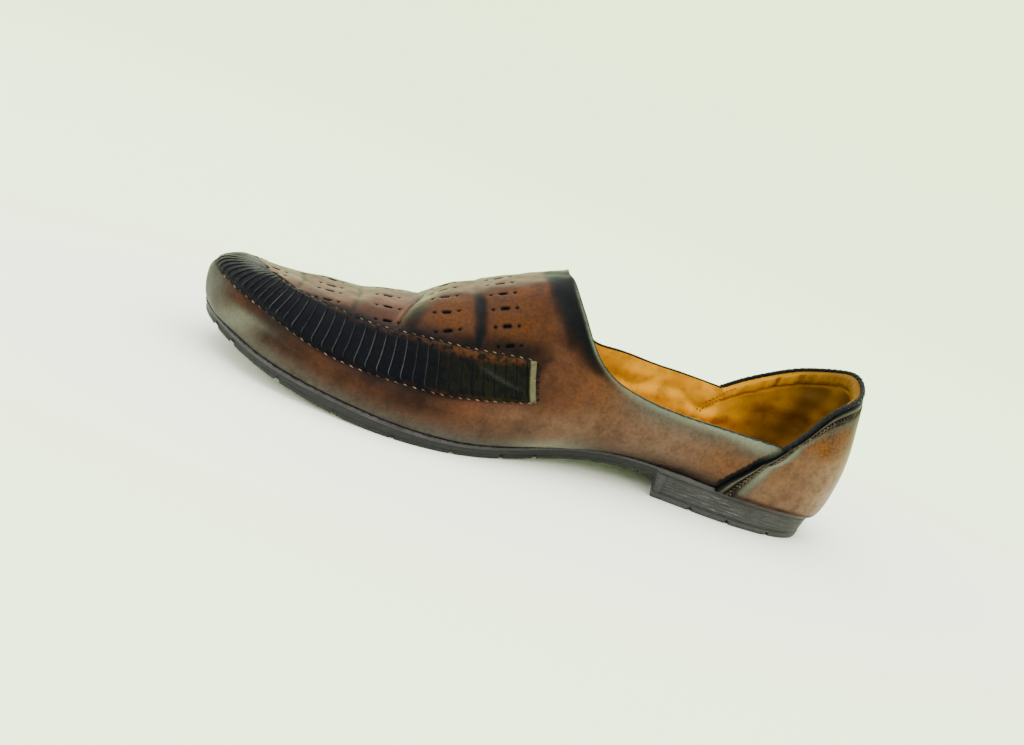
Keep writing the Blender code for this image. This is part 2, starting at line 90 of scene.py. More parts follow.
# Half widths of the feather line in plan: s, inner, outer.
OUTLINE: Rows = (
    (15, 22.5, 22), (30, 30, 29.8), (52, 31.2, 32), (90, 26, 33.2), (120, 24.5, 36), (150, 32.5, 42),
    (180, 46.5, 49), (208, 51.5, 51.5), (240, 47, 48.8), (265, 38.5, 41.2), (284, 25.3, 28), (294.6, 13.6, 16),
)
# Feather line height, and the wall's swell: s, height, inner out, outer out, up.
WALL: Rows = (
    (6.8, 13, 3.6, 3.6, 22), (25, 14.4, 3.2, 3.2, 20), (60, 15, 3.2, 3, 18), (100, 14.9, 7.5, 3.5, 17),
    (128, 12, 9.5, 4, 17), (150, 8.2, 8.5, 3.5, 16), (178, 5.9, 2.8, 2, 13), (205, 6.1, 1, 1.2, 11),
    (235, 7.9, 0.8, 1, 9), (262, 10.4, 0.8, 0.8, 8.5), (284, 14.4, 1.2, 1.2, 9), (299.4, 18.6, 2.4, 2.4, 9.5),
)
# Crown line: s, height, side offset.
CROWN: Rows = (
    (39.8, 117, 0), (80, 108, 0), (125, 90, 0), (145, 83, 0), (162, 75.8, 0), (186, 63.2, 0), (206, 51.8, -0.6),
    (224, 43.8, -1.6), (245, 39.2, -2.6), (272.4, 38, -2.8),
)
# Section over the foot: s, saddle share, boxiness.
SECTION: Rows = (
    (6.8, 0, 1.65), (45, 0, 1.7), (80, 0, 2.1), (125, 0.4, 2.2), (145, 0.75, 2.2), (162, 0.85, 2.2),
    (186, 0.88, 2.2), (206, 0.85, 2.2), (224, 0.75, 2.2), (245, 0.6, 2.2), (270, 0.48, 2.4), (286, 0.22, 2.8),
    (299.4, 0, 3.3),
)
# Topline: s, and the drop below the crown line as 1 - v on the inner and the outer side.
TOPLINE: Rows = (
    (154.7, 0.118, 0.118), (152, 0.23, 0.23), (148.2, 0.315, 0.315), (140.3, 0.443, 0.443), (131.8, 0.558, 0.558),
    (122.4, 0.662, 0.68), (111, 0.735, 0.728), (97, 0.773, 0.758), (78, 0.78, 0.765), (60, 0.765, 0.752),
    (40, 0.742, 0.735),
)
# Top edge of the heel counter from each joint to the back: s, v.
COUNTER_TOP_INNER: Rows = ((42.5, 0.292), (37, 0.35), (30, 0.42), (22.5, 0.464), (15, 0.488), (9.5, 0.507))
COUNTER_TOP_OUTER: Rows = ((55, 0.262), (48, 0.317), (36.8, 0.39), (24.5, 0.452), (16.5, 0.482), (9.5, 0.513))
# Front edge of the counter: share of its height, distance forward of the joint.
COUNTER_FRONT: Rows = ((0, 22.5), (0.32, 19.2), (0.58, 10.6), (0.76, 5.6), (1, 0))
# Apron band round the toe: s, lower v, upper v.
BAND: Rows = (
    (157, 0.352, 0.515), (176, 0.368, 0.555), (194, 0.374, 0.592), (212, 0.382, 0.643), (230, 0.376, 0.683),
    (248, 0.384, 0.736), (262, 0.416, 0.77), (275, 0.42, 0.8), (286, 0.378, 0.85), (293.5, 0.354, 0.864),
    (299.4, 0.348, 0.868),
)
# Sole: s, bottom height, how far its top and its bottom edge stand out of the feather line.
SOLE: Rows = (
    (6.8, 9, 0.6, -2.4), (45, 9.4, 0.6, -0.6), (98, 9, 0.8, -0.8), (126, 5.7, 0.8, -1.4), (154, 1.1, 0.8, -1),
    (182, 0, 1.2, 0.2), (214, 0, 1.2, 0.4), (237, 1.5, 1.2, 0.4), (262, 5, 1.2, 0.3), (284, 9.5, 1, 0),
    (299.4, 13.4, 0.8, -0.6),
)
NOTCHES = (32.6, 53.2, 71.0, 146.3, 162.0, 185.0, 210.7, 235.6, 260.9, 282.8, 291.6)


class Side(float, Enum):
    """The two sides of the shoe, by the sign of their places."""

    INNER = -1.0
    OUTER = 1.0


class Slot(Enum):
    """Names of material slots."""

    VAMP = "vamp_leather"
    PLEATS = "pleated_leather"
    PIPING = "piping_leather"
    LINING = "lining_leather"
    SOLE = "sole_rubber"


def column(rows: Rows, index: int) -> Array:
    """One column of a table as an array."""
    return np.array([row[index] for row in rows], float)


def spline(knots: Array, values: Array) -> Curve:
    """Natural cubic spline through the knots, running straight on past its ends.

    Args:
        knots: rising places of the knots.
        values: the value at each knot.

    Returns:
        A function of an array of places. Between two knots it is the cubic whose second derivative runs
        straight from one knot's bend to the next's.
    """
    step = np.diff(knots)
    slope = np.diff(values) / step
    count = len(knots)
    matrix, right = np.eye(count), np.zeros(count)
    for i in range(1, count - 1):
        matrix[i, i - 1 : i + 2] = step[i - 1], 2.0 * (step[i - 1] + step[i]), step[i]
        right[i] = 6.0 * (slope[i] - slope[i - 1])
    bend = np.linalg.solve(matrix, right)
    first, last = slope[0] - step[0] * bend[1] / 6, slope[-1] + step[-1] * bend[-2] / 6

    def curve(x: Array) -> Array:
        """The spline's values.

        Args:
            x: places.

        Returns:
            The value at each place.
        """
        x = np.asarray(x, float)
        i = np.clip(np.searchsorted(knots, x) - 1, 0, count - 2)
        inside = np.clip(x, knots[0], knots[-1])
        a, b, h = knots[i + 1] - inside, inside - knots[i], step[i]
        y = bend[i] * a**3 / (6 * h) + bend[i + 1] * b**3 / (6 * h)
        y = y + (values[i] / h - bend[i] * h / 6) * a + (values[i + 1] / h - bend[i + 1] * h / 6) * b
        return y + (x - inside) * np.where(x < knots[0], first, last)

    return curve


def splines(rows: Rows) -> list[Curve]:
    """Splines through each later column of a table over its first."""
    return [spline(column(rows, 0), column(rows, i)) for i in range(1, len(rows[0]))]


def smooth(x: Array, low: float, high: float) -> Array:
    """Smooth step from 0 at low to 1 at high: 3t^2 - 2t^3."""
    t = np.clip((x - low) / (high - low), 0.0, 1.0)
    return t * t * (3.0 - 2.0 * t)


def fall(x: Array, low: float, high: float) -> Array:
    """Smooth step down from 1 at low to 0 at high."""
    return 1.0 - smooth(x, low, high)


def bump(x: Array, width: float) -> Array:
    """Bell exp(-(x / width)^2)."""
    return np.exp(-((x / width) ** 2))


def ramp(x: Array, *knots: tuple[float, float]) -> Array:
    """Value at x on straight runs between knots of (place, value)."""
    return np.interp(x, column(knots, 0), column(knots, 1))


def most(*fields: Array) -> Array:
    """Greatest of several fields at each point."""
    return reduce(np.maximum, fields)


def share_of(x: Array) -> Array:
    """Field kept between 0 and 1."""
    return np.clip(x, 0.0, 1.0)


def spots(a: Array, b: Array, *rows: tuple[float, ...]) -> Array:
    """Greatest of soft spots, strength x bell of a x bell of b; a row is strength, middle, width, middle, width."""
    return most(*(k * bump(a - a0, a1) * bump(b - b0, b1) for k, a0, a1, b0, b1 in rows))


def waves(points: Array, size: float, seed: int) -> Array:
    """Soft irregular field of about -1 to 1 over points in space.

    Args:
        points: (..., 3) points in millimetres.
        size: the usual wavelength.
        seed: seed of the directions and phases.

    Returns:
        The field at each point: the sum of nine plane waves sin(k . p + phase), over 3.
    """
    rng = np.random.default_rng(seed)
    way = rng.normal(size=(9, 3))
    way *= (TURN / (size * rng.uniform(0.7, 1.6, 9)) / np.linalg.norm(way, axis=1))[:, None]
    return np.sin(points @ way.T + rng.uniform(0.0, TURN, 9)).sum(-1) / 3.0


def unit(vectors: Array) -> Array:
    """Vectors scaled to length one."""
    return vectors / np.maximum(np.linalg.norm(vectors, axis=-1, keepdims=True), 1e-12)


def along(path: Array) -> Array:
    """Unit directions along a path's points."""
    return unit(np.gradient(path, axis=0))


def arc_along(points: Array, axis: int) -> Array:
    """Length run along one axis of a grid of points.

    Args:
        points: (..., 3) points.
        axis: the axis to run along.

    Returns:
        At each point, the sum of the straight steps from the axis's start.
    """
    steps = np.linalg.norm(np.diff(points, axis=axis), axis=-1)
    start = np.zeros_like(np.take(steps, [0], axis=axis))
    return np.concatenate([start, np.cumsum(steps, axis=axis)], axis=axis)


def arc_back(points: Array, axis: int) -> Array:
    """Length run along one axis of a grid of points, from its end."""
    return np.flip(arc_along(np.flip(points, axis), axis), axis)


def nearest(points: Array, *paths: Array) -> Array:
    """Distance from points to paths.

    Args:
        points: (..., 3) points.
        paths: (n, 3) points of each path.

    Returns:
        At each point, the least distance to any point of the paths.
    """
    flat = points.reshape(-1, 3)
    best = np.full(len(flat), np.inf)
    for spot in np.concatenate(paths):
        np.minimum(best, ((flat - spot) ** 2).sum(1), out=best)
    return np.sqrt(best).reshape(points.shape[:-1])


def between(run: Array, rows: Array, places: Array) -> Array:
    """Rows at places of their run, by interpolation in each column."""
    return np.stack([np.interp(places, run, line) for line in rows.T], -1)


def resample(path: Array, step: float) -> Array:
    """Points about step apart along a polyline, by interpolation over its length."""
    run = arc_along(path, 0)
    return between(run, path, np.linspace(0.0, run[-1], max(2, int(round(run[-1] / step)) + 1)))


def through(knots: Rows, count: int) -> Array:
    """So many rows on the straight runs through rows of knots."""
    return between(np.arange(len(knots)), np.array(knots), np.linspace(0.0, len(knots) - 1.0, count))


def from_back(q: Array) -> Array:
    """Signed place measured from the middle of the heel instead of the toe tip, or the other way round."""
    return np.where(q < 0.0, -1.0, 1.0) * (1.0 - np.abs(q))


@dataclass
class Last:
    """The form that the shoe is made over, in millimetres."""

    back: float = 6.8
    front: float = 299.4
    toe_fan: tuple[float, float] = (215.0, 27.0)  # where the sections start to fan, and how far the last one does
    heel_fan: tuple[float, float] = (112.0, 33.0)
    tuck: float = 0.16  # share of v in which the wall swells out
    throat_s: float = 155.8
    throat_feather: float = 153.0
    throat_blend: tuple[float, float] = (110.0, 178.0)
    rim_drop: float = 3.2
    counter_top_back: float = 0.530
    topline_weight: float = 60.0  # millimetres for a whole v along the topline
    topline_points: int = 2001
    height_steps: int = 400
    grid: tuple[int, int] = (700, 160)  # columns and rows of the grid that places are looked up in
    step: float = 1e-4  # small step in q and v that directions are taken over

    def __post_init__(self) -> None:
        """Lays splines through the tables, and a fine grid of points over each side to look places up in."""
        taus = np.concatenate([[0.0], self.tau_of(column(OUTLINE[::-1], 0)), [1.0]])
        widths = (np.concatenate([[0.0], column(OUTLINE[::-1], i), [0.0]]) for i in (1, 2))
        self.half = {side: spline(taus, width) for side, width in zip(Side, widths)}
        self.low, self.in_out, self.out_out, self.up = splines(WALL)
        self.crown_z, self.crown_y = splines(CROWN)
        self.saddle, self.boxy = splines(SECTION)
        rows = BAND[::-1]
        self.band_low, self.band_high = (spline(self.tau_of(column(rows, 0)), column(rows, i)) for i in (1, 2))
        self.front_edge = splines(COUNTER_FRONT)[0]
        inner = [(self.tau_of(s) - 1.0, v) for s, v in COUNTER_TOP_INNER]
        outer = [(1.0 - self.tau_of(s), v) for s, v in COUNTER_TOP_OUTER[::-1]]
        knots = inner + [(0.0, self.counter_top_back)] + outer
        self.counter_top = spline(column(knots, 0), column(knots, 1))
        inner, outer = [(s, -drop) for s, drop, _ in TOPLINE[::-1]], [(s, drop) for s, _, drop in TOPLINE]
        line = np.array(inner + [(self.throat_s, 0.0)] + outer)
        chord = np.cumsum(np.hypot(*(np.diff(line, axis=0) * (1.0, self.topline_weight)).T))
        chord = np.concatenate([[0.0], chord])
        fine = np.linspace(0.0, chord[-1], self.topline_points)
        top = np.stack([spline(chord, line[:, i])(fine) for i in (0, 1)])
        self.topline = {side: np.abs(top[:, top[1] * side >= 0.0]) for side in Side}
        self.topline = {side: rows[:, np.argsort(rows[0])] for side, rows in self.topline.items()}
        self.fine_tau, self.fine_v = np.linspace(0.0, 1.0, self.grid[0]), np.linspace(1.0, 0.0, self.grid[1])
        self.fine = {side: self.point(side * self.fine_tau[:, None], self.fine_v[None, :]) for side in Side}

    def tau_of(self, s: Array) -> Array:
        """Place along the feather line of the distance s: arccos(2 share - 1) / pi."""
        return np.arccos(np.clip(2.0 * (s - self.back) / (self.front - self.back) - 1.0, -1.0, 1.0)) / math.pi

    def s_of(self, tau: Array) -> Array:
        """Distance forward at the place tau: back + half the length times (1 + cos(pi tau))."""
        return self.back + (self.front - self.back) / 2.0 * (1.0 + np.cos(math.pi * tau))

    def crown_s(self, s: Array) -> Array:
        """Fans the sections in at both ends by a cube law.

        Args:
            s: distance of a section at the feather line.

        Returns:
            Its distance at the crown line.
        """
        toe = share_of((s - self.toe_fan[0]) / (self.front - self.toe_fan[0]))
        heel = share_of((self.heel_fan[0] - s) / (self.heel_fan[0] - self.back))
        return s - self.toe_fan[1] * toe**3 + self.heel_fan[1] * heel**3

    def feather(self, q: Array) -> tuple[Array, Array]:
        """Plan place (s, y) of the feather line."""
        tau = np.abs(q)
        return self.s_of(tau), np.where(q < 0, -self.half[Side.INNER](tau), self.half[Side.OUTER](tau))

    def point(self, q: Array, v: Array) -> Array:
        """Outer surface of the upper.

        Args:
            q: signed place along the feather line.
            v: place from the feather line up to the crown.

        Returns:
            (..., 3) points (s, y, z). Below the tuck share the wall swells out along a quarter ellipse; above
            it, it closes to the crown as (1 - c^b)^(1/b), mixed with the bell (1 - c^3)^1.5, c the cosine.
        """
        q, v = np.broadcast_arrays(q, v)
        s, y = self.feather(q)
        centre = self.crown_s(s)
        offset = self.crown_y(centre)
        ray_s, ray_y = s - centre, y - offset
        reach = np.hypot(ray_s, ray_y)
        out = np.where(q < 0, self.in_out(s), self.out_out(s))
        low, up = self.low(s), self.up(s)
        tuck = share_of(v / self.tuck) * math.pi / 2
        share = np.cos(share_of((v - self.tuck) / (1.0 - self.tuck)) * math.pi / 2)
        boxy, saddle = self.boxy(s), self.saddle(s)
        rise = (1.0 - saddle) * (1.0 - share**boxy) ** (1.0 / boxy) + saddle * (1.0 - share**3) ** 1.5
        below = v < self.tuck
        far = np.where(below, reach + out * np.sin(tuck), (reach + out) * share)
        z = np.where(below, low + up * (1.0 - np.cos(tuck)), low + up + (self.crown_z(centre) - low - up) * rise)
        scale = far / np.maximum(reach, 1e-9)
        return np.stack([centre + ray_s * scale, offset + ray_y * scale, z], -1)

    def normal(self, q: Array, v: Array) -> Array:
        """Outward directions of the surface.

        Args:
            q: signed places along the feather line.
            v: places up the wall.

        Returns:
            Unit cross products of small steps along q and along v.
        """
        step = self.step
        inside = np.clip(v, step, 1.0 - step)
        forward = self.point(q + step, inside) - self.point(q - step, inside)
        return unit(np.cross(forward, self.point(q, inside + step) - self.point(q, inside - step)))

    def skin(self, q: Array, v: Array, lift: Array) -> Array:
        """Surface moved outward by lift millimetres."""
        return self.point(q, v) + self.normal(q, v) * np.broadcast_to(lift, np.broadcast(q, v).shape)[..., None]

    def v_at(self, q: Array, height: Array) -> Array:
        """Finds where the wall reaches a height.

        Args:
            q: signed places along the feather line.
            height: the height above each.

        Returns:
            v at each place, by linear interpolation between even steps.
        """
        steps = self.height_steps
        z = self.point(q[:, None], np.linspace(0.0, 1.0, steps + 1)[None, :])[..., 2]
        i = np.clip((z < height[:, None]).sum(1), 1, steps)
        row = np.arange(len(q))
        below, above = z[row, i - 1], z[row, i]
        return (i - 1 + (height - below) / np.maximum(above - below, 1e-9)) / steps

    def band(self, q: Array, share: Array) -> Array:
        """v of the band.

        Args:
            q: signed places along the feather line.
            share: share across the band, from its lower border to its upper.

        Returns:
            v at each place; the upper border lies lower on the outer side of the toe than on the inner.
        """
        low = self.band_low(np.abs(q))
        high = self.band_high(np.abs(q)) - 0.25 * smooth(q, 0.025, 0.11) * fall(q, 0.22, 0.40)
        return low + (high - low) * share

    def rim_v(self, q: Array) -> Array:
        """v of the line that runs rim_drop millimetres below the counter's finished top edge."""
        return self.v_at(q, self.point(q, self.counter_top(from_back(q)))[..., 2] - self.rim_drop)

    def quarter_top(self, side: Side, s: Array) -> Array:
        """v of the topline at the distance s."""
        run, drop = self.topline[side]
        return 1.0 - np.interp(s, run, drop)

    def joint(self, side: Side) -> float:
        """Feather distance below the point where the counter's front edge meets the topline."""
        return (COUNTER_TOP_INNER if side < 0 else COUNTER_TOP_OUTER)[0][0]

    def top_edge(self, side: Side, s: Array) -> tuple[Array, Array]:
        """Where the upper's columns end.

        Args:
            side: the side of the shoe.
            s: feather distances of the columns.

        Returns:
            The s and the v of each column's top: the crown in front of the throat, then the topline, eased
            round the throat, then a line under the counter's rim.
        """
        low, high = self.throat_blend
        mid = self.throat_feather
        bridge = self.throat_s + (s - mid) * (high - self.throat_s) / (high - mid)
        share = share_of((s - low) / (mid - low))
        start = (mid - low) / (self.throat_s - low)
        eased = start * share + (3.0 - 2.0 * start) * share**2 + (start - 2.0) * share**3
        top_s = np.select([s > high, s > mid, s > low], [s, bridge, low + (self.throat_s - low) * eased], s)
        top_v = np.where(s > mid, 1.0, self.quarter_top(side, top_s))
        behind = s <= self.joint(side)
        if np.any(behind):
            top_v[behind] = self.rim_v(side * self.tau_of(s[behind]))
        return top_s, top_v

    def wall(self, q: Array, rows: Array) -> tuple[Array, Array]:
        """Grid of the upper's wall.

        Args:
            q: signed places of the columns along the feather line.
            rows: shares of each column's height.

        Returns:
            q and v of every grid point, (columns, rows); a column leans from its feather place to its top
            place by the power 1.5 of the height.
        """
        grid_q, grid_v = np.empty((2, len(q), len(rows)))
        for side in Side:
            ours = (q < 0) if side < 0 else (q >= 0)
            s = self.s_of(np.abs(q[ours]))
            top_s, top_v = self.top_edge(side, s)
            lean = s[:, None] + (top_s - s)[:, None] * rows[None, :] ** 1.5
            grid_q[ours] = side * self.tau_of(lean)
            grid_v[ours] = top_v[:, None] * rows[None, :]
        return grid_q, grid_v

    def spot(self, side: Side, s: float, across: float, by_arc: bool = True) -> Array:
        """Finds a point of the surface.

        Args:
            side: the side of the shoe.
            s: distance forward.
            across: distance from the crown line in millimetres.
            by_arc: whether that distance runs over the surface, or level.

        Returns:
            The point, by interpolation along the section at s.
        """
        reach = self.fine[side][..., 0]
        held = reach[0] >= s
        q = np.array([side * np.interp(-s, -reach[:, i], self.fine_tau) for i in np.flatnonzero(held)])
        v = self.fine_v[held]
        points = self.point(q, v)
        run = arc_along(points, 0) if by_arc else np.abs(points[:, 1] - self.crown_y(s))
        return self.point(np.interp(across, run, q), np.interp(across, run, v))

    def edge_plan(self, side: Side, tau: Array, out: Array) -> Array:
        """Plan line beside the feather line.

        Args:
            side: the side of the shoe.
            tau: places along it.
            out: how far outside it each point stands, along its outward normal.

        Returns:
            (n, 2) points (s, y).
        """
        ahead, behind, here = (
            np.stack(self.feather(side * place), -1)
            for place in (tau + self.step, tau - self.step, np.maximum(tau, 1e-9))
        )
        forward = ahead - behind
        normal = unit(np.stack([forward[:, 1], -forward[:, 0]], -1)) * side
        return here + normal * out[:, None]


@dataclass
class Patch:
    """A grid of points in millimetres, with values that its material reads, on the way to becoming a mesh."""

    points: Array
    values: dict[str, Array]
    flip: bool = False


def build_mesh(name: str, patches: Sequence[Patch], merge: float) -> bpy.types.Object:
    """Makes one mesh object from grids of points.

    Args:
        name: the object's name.
        patches: the grids; each quad joins four neighbouring points.
        merge: distance in millimetres within which points become one, or 0 for none.

    Returns:
        The object, at the origin, smooth-shaded, with its values as point attributes.
    """
    verts, faces, start = [], [], 0
    values: dict[str, list[Array]] = {key: [] for key in sorted({key for patch in patches for key in patch.values})}
    for patch in patches:
        shape = patch.points.shape[:2]
        number = np.arange(start, start + shape[0] * shape[1]).reshape(shape)
        quads = np.stack([number[:-1, :-1], number[1:, :-1], number[1:, 1:], number[:-1, 1:]], -1).reshape(-1, 4)
        faces.append(quads if patch.flip else quads[:, ::-1])
        s, y, z = patch.points.reshape(-1, 3).T
        verts.append(np.stack([ORIGIN_S - s, y, z], -1) * MM)
        for key, found in values.items():
            found.append(np.broadcast_to(patch.values.get(key, 0.0), shape).reshape(-1))
        start += number.size
    vert, face = np.concatenate(verts), np.concatenate(faces)
    mesh = bpy.data.meshes.new(name)
    mesh.vertices.add(len(vert))
    mesh.vertices.foreach_set("co", vert.astype(np.float32).reshape(-1))
    mesh.loops.add(face.size)
    mesh.loops.foreach_set("vertex_index", face.astype(np.int32).reshape(-1))
    mesh.polygons.add(len(face))
    mesh.polygons.foreach_set("loop_start", np.arange(0, face.size, 4, dtype=np.int32))
    for key, found in values.items():
        mesh.attributes.new(key, "FLOAT", "POINT").data.foreach_set("value", np.concatenate(found).astype(np.float32))
    mesh.update()
    mesh.validate()
    if merge > 0.0:
        work = bmesh.new()
        work.from_mesh(mesh)
        bmesh.ops.remove_doubles(work, verts=work.verts, dist=merge * MM)
        bmesh.ops.dissolve_degenerate(work, edges=work.edges, dist=merge * MM)
        work.to_mesh(mesh)
        work.free()
    mesh.shade_smooth()
    return placed(name, mesh)


def placed(name: str, data: bpy.types.ID) -> bpy.types.Object:
    """Makes an object of a mesh, lamp or camera, and puts it into the scene.

    Args:
        name: its name.
        data: what it shows.

    Returns:
        The object, at the origin.
    """
    made = bpy.data.objects.new(name, data)
    bpy.context.scene.collection.objects.link(made)
    return made


def tube(path: Array, up: Array, profile: Array) -> Array:
    """Carries a closed profile along a path.

    Args:
        path: (n, 3) points.
        up: (n, 3) directions that the profile's second axis leans towards.
        profile: (n, m, 2) distances across and up.

    Returns:
        (n, m + 1, 3) points: path + across * side way + up * upward way.
    """
    forward = along(path)
    across = unit(np.cross(forward, up))
    upward = np.cross(across, forward)
    profile = np.concatenate([profile, profile[:, :1]], 1)
    return path[:, None] + profile[..., :1] * across[:, None] + profile[..., 1:] * upward[:, None]


class Graph:
    """A material's node tree, put together from its colours and fields."""

    def __init__(self, name: str) -> None:
        """Starts a material with its shader and output.

        Args:
            name: the material's name.
        """
        self.material = bpy.data.materials.new(name)
        self.material.use_nodes = True
        self.tree = self.material.node_tree
        self.tree.nodes.clear()
        self.shader = self.node("ShaderNodeBsdfPrincipled")
        output = self.node("ShaderNodeOutputMaterial")
        self.tree.links.new(self.shader.outputs["BSDF"], output.inputs["Surface"])
        self.place = self.node("ShaderNodeTexCoord").outputs["Object"]

    def node(self, kind: str, **settings: object) -> bpy.types.Node:
        """Adds a node.

        Args:
            kind: its type.
            settings: its fields; one named after an input, with _ for a blank, feeds that input.

        Returns:
            The node.
        """
        made = self.tree.nodes.new(kind)
        for key, value in settings.items():
            name = key.replace("_", " ")
            if name in made.inputs:
                self.feed(made.inputs[name], value)
            else:
                setattr(made, key, value)
        return made

    def feed(self, socket: Socket, value: object) -> None:
        """Links a socket, or sets it.

        Args:
            socket: the input.
            value: an output to link, or a number, a colour or a vector.
        """
        if isinstance(value, Socket):
            self.tree.links.new(value, socket)
        elif socket.type == "RGBA":
            socket.default_value = (*value, 1.0)
        else:
            socket.default_value = value

    def math(self, kind: str, *values: object, clamp: bool = False) -> Socket:
        """Adds a Math node.

        Args:
            kind: its operation.
            values: what it works on.
            clamp: whether its result is kept between 0 and 1.

        Returns:
            Its result.
        """
        made = self.node("ShaderNodeMath", operation=kind, use_clamp=clamp)
        for socket, value in zip(made.inputs, values):
            self.feed(socket, value)
        return made.outputs[0]

    def times(self, *values: object) -> Socket:
        """Product of the values."""
        return reduce(lambda a, b: self.math("MULTIPLY", a, b), values)

    def plus(self, first: object, second: object) -> Socket:
        """Sum of two values."""
        return self.math("ADD", first, second)

    def coats(self, base: object, *coats: tuple[object, ...]) -> object:
        """Lays coats of colour over a base.

        Args:
            base: the colour beneath.
            coats: each a colour and the shares whose product says how much of it shows.

        Returns:
            The colour on top.
        """
        for colour, *shares in coats:
            made = self.node("ShaderNodeMix", data_type="RGBA")
            for index, value in ((0, self.times(*shares)), (6, base), (7, colour)):
                self.feed(made.inputs[index], value)
            base = made.outputs[2]
        return base

    def span(self, value: object, low: float, high: float, start: float = 0.0, end: float = 1.0) -> Socket:
        """Value carried smoothly from the range low to high onto the range start to end."""
        ends = {"From_Min": low, "From_Max": high, "To_Min": start, "To_Max": end}
        return self.node("ShaderNodeMapRange", interpolation_type="SMOOTHSTEP", Value=value, **ends).outputs[0]

    def field(self, name: str) -> Socket:
        """A value stored on the mesh's points."""
        return self.node("ShaderNodeAttribute", attribute_name=name).outputs["Fac"]

    def stretch(self, *scale: float) -> Socket:
        """Object coordinates stretched along each axis."""
        return self.node("ShaderNodeMapping", Scale=scale, Vector=self.place).outputs[0]

    def noise(self, size: float, detail: float = 3.0, rough: float = 0.55, place: Socket | None = None) -> Socket:
        """Noise whose patches are about size millimetres across, from 0 to 1 about a half."""
        settings = {"Scale": 1.0 / (size * MM), "Detail": detail, "Roughness": rough, "Vector": place or self.place}
        return self.node("ShaderNodeTexNoise", **settings).outputs["Fac"]

    def cells(self, size: float) -> Socket:
        """Distance field of grain cells about size millimetres across."""
        return self.node("ShaderNodeTexVoronoi", Scale=1.0 / (size * MM), Vector=self.place).outputs["Distance"]

    def finish(
        self, colour: object, rough: object, specular: float, grain: Socket, depth: float, strength: float = 0.5
    ) -> bpy.types.Material:
        """Ends a material.

        Args:
            colour: its base colour.
            rough: its roughness.
            specular: its specular level.
            grain: the height field of its relief.
            depth: the relief's height in millimetres where that field is one.
            strength: how strongly the relief shows.

        Returns:
            The material.
        """
        normal = self.node("ShaderNodeBump", Strength=strength, Distance=depth * MM, Height=grain).outputs[0]
        sockets = {"Base Color": colour, "Roughness": rough, "Specular IOR Level": specular, "Normal": normal}
        for name, value in sockets.items():
            self.feed(self.shader.inputs[name], value)
        return self.material


@dataclass(frozen=True)
class BurnishedLeather:
    """Brown calf, polished dark round its edges, with orange patches and painted reflections, highlights and shade.

    Each noise is given by its size in millimetres, detail and roughness.
    """

    name: str = "burnished_brown_leather"
    brown: Colour = (0.048, 0.0170, 0.0092)
    deep: Colour = (0.0095, 0.0042, 0.0030)
    # tan is partly the leather's own paler tone and partly painted sheen on the crown and the crease's lip.
    tan: Colour = (0.122, 0.069, 0.047)
    orange: Colour = (0.108, 0.0315, 0.0018)
    # green is a painted grey-green reflection, laid by its field.
    green: Colour = (0.039, 0.0395, 0.0365)
    navy: Colour = (0.0014, 0.0020, 0.0030)
    # mint is a painted pale highlight, laid by its field.
    mint: Colour = (0.138, 0.150, 0.118)
    # hollow is painted shade inside the holes.
    hollow: Colour = (0.0006, 0.0006, 0.0008)
    gloss: Colour = (1.0, 0.90, 0.80)
    cloud: Noise = (15.0, 5.0, 0.62)
    drift: Noise = (6.5, 4.0, 0.66)
    fine: Noise = (1.8, 3.0, 0.62)
    speckle: Noise = (1.3, 3.0, 0.7)
    grit: Noise = (1.05, 4.0, 0.75)
    speck: Noise = (0.62, 2.0, 0.7)

    def make(self) -> bpy.types.Material:
        """Makes the material.

        Returns:
            Tints laid by the mesh's fields, painted light and shade among them, broken up by the noises, then the
            holes, painted dark inside as shade, and the dark rim.
        """
        g = Graph(self.name)
        cloud, drift, fine = g.noise(*self.cloud), g.noise(*self.drift), g.noise(*self.fine)
        haze, hole, shade = g.field("haze"), g.field("hole"), g.field("dark")
        dark = g.plus(shade, g.times(g.span(drift, 0.32, 0.68, -0.16, 0.16), shade))
        inside = g.span(hole, -0.08, 0.05, 1.0, 0.0)
        base = g.coats(
            self.deep,
            (self.brown, g.span(cloud, 0.34, 0.64, 0.42)),
            (self.tan, g.field("tan"), g.span(drift, 0.22, 0.62, 0.35)),
            (self.orange, g.field("warm"), g.span(drift, 0.30, 0.60, 0.12)),
            # Painted grey-green reflection.
            (self.green, haze, g.span(cloud, 0.2, 0.6, 0.55)),
            (self.deep, g.span(fine, 0.44, 0.64), 0.24),
            (self.deep, g.span(g.noise(*self.grit), 0.45, 0.58, 0.0, 0.52), g.field("warm")),
            (self.tan, g.span(g.noise(*self.speck), 0.54, 0.72), 0.16),
            # The dark field is burnish and painted shade.
            (self.deep, g.span(dark, 0.02, 0.62)),
            (self.navy, g.span(dark, 0.50, 0.95)),
            # Painted pale highlight.
            (self.mint, g.field("glow"), g.span(g.noise(*self.speckle), 0.36, 0.62, 0.72)),
            (self.navy, g.span(g.field("rim"), 0.20, 0.50, 0.92, 0.0)),
            (self.navy, g.span(hole, 0.0, 0.9, 0.55, 0.0)),
            # Painted shade inside the holes.
            (self.hollow, inside),
        )
        rough = g.plus(g.span(cloud, 0.3, 0.7, 0.30, 0.40), g.times(haze, 0.08))
        rough = g.math("ADD", rough, g.times(inside, 0.5), clamp=True)
        g.feed(g.shader.inputs["Specular Tint"], self.gloss)
        return g.finish(base, rough, 0.038, g.plus(g.times(g.cells(0.8), 0.55), g.times(fine, 0.8)), 0.075)


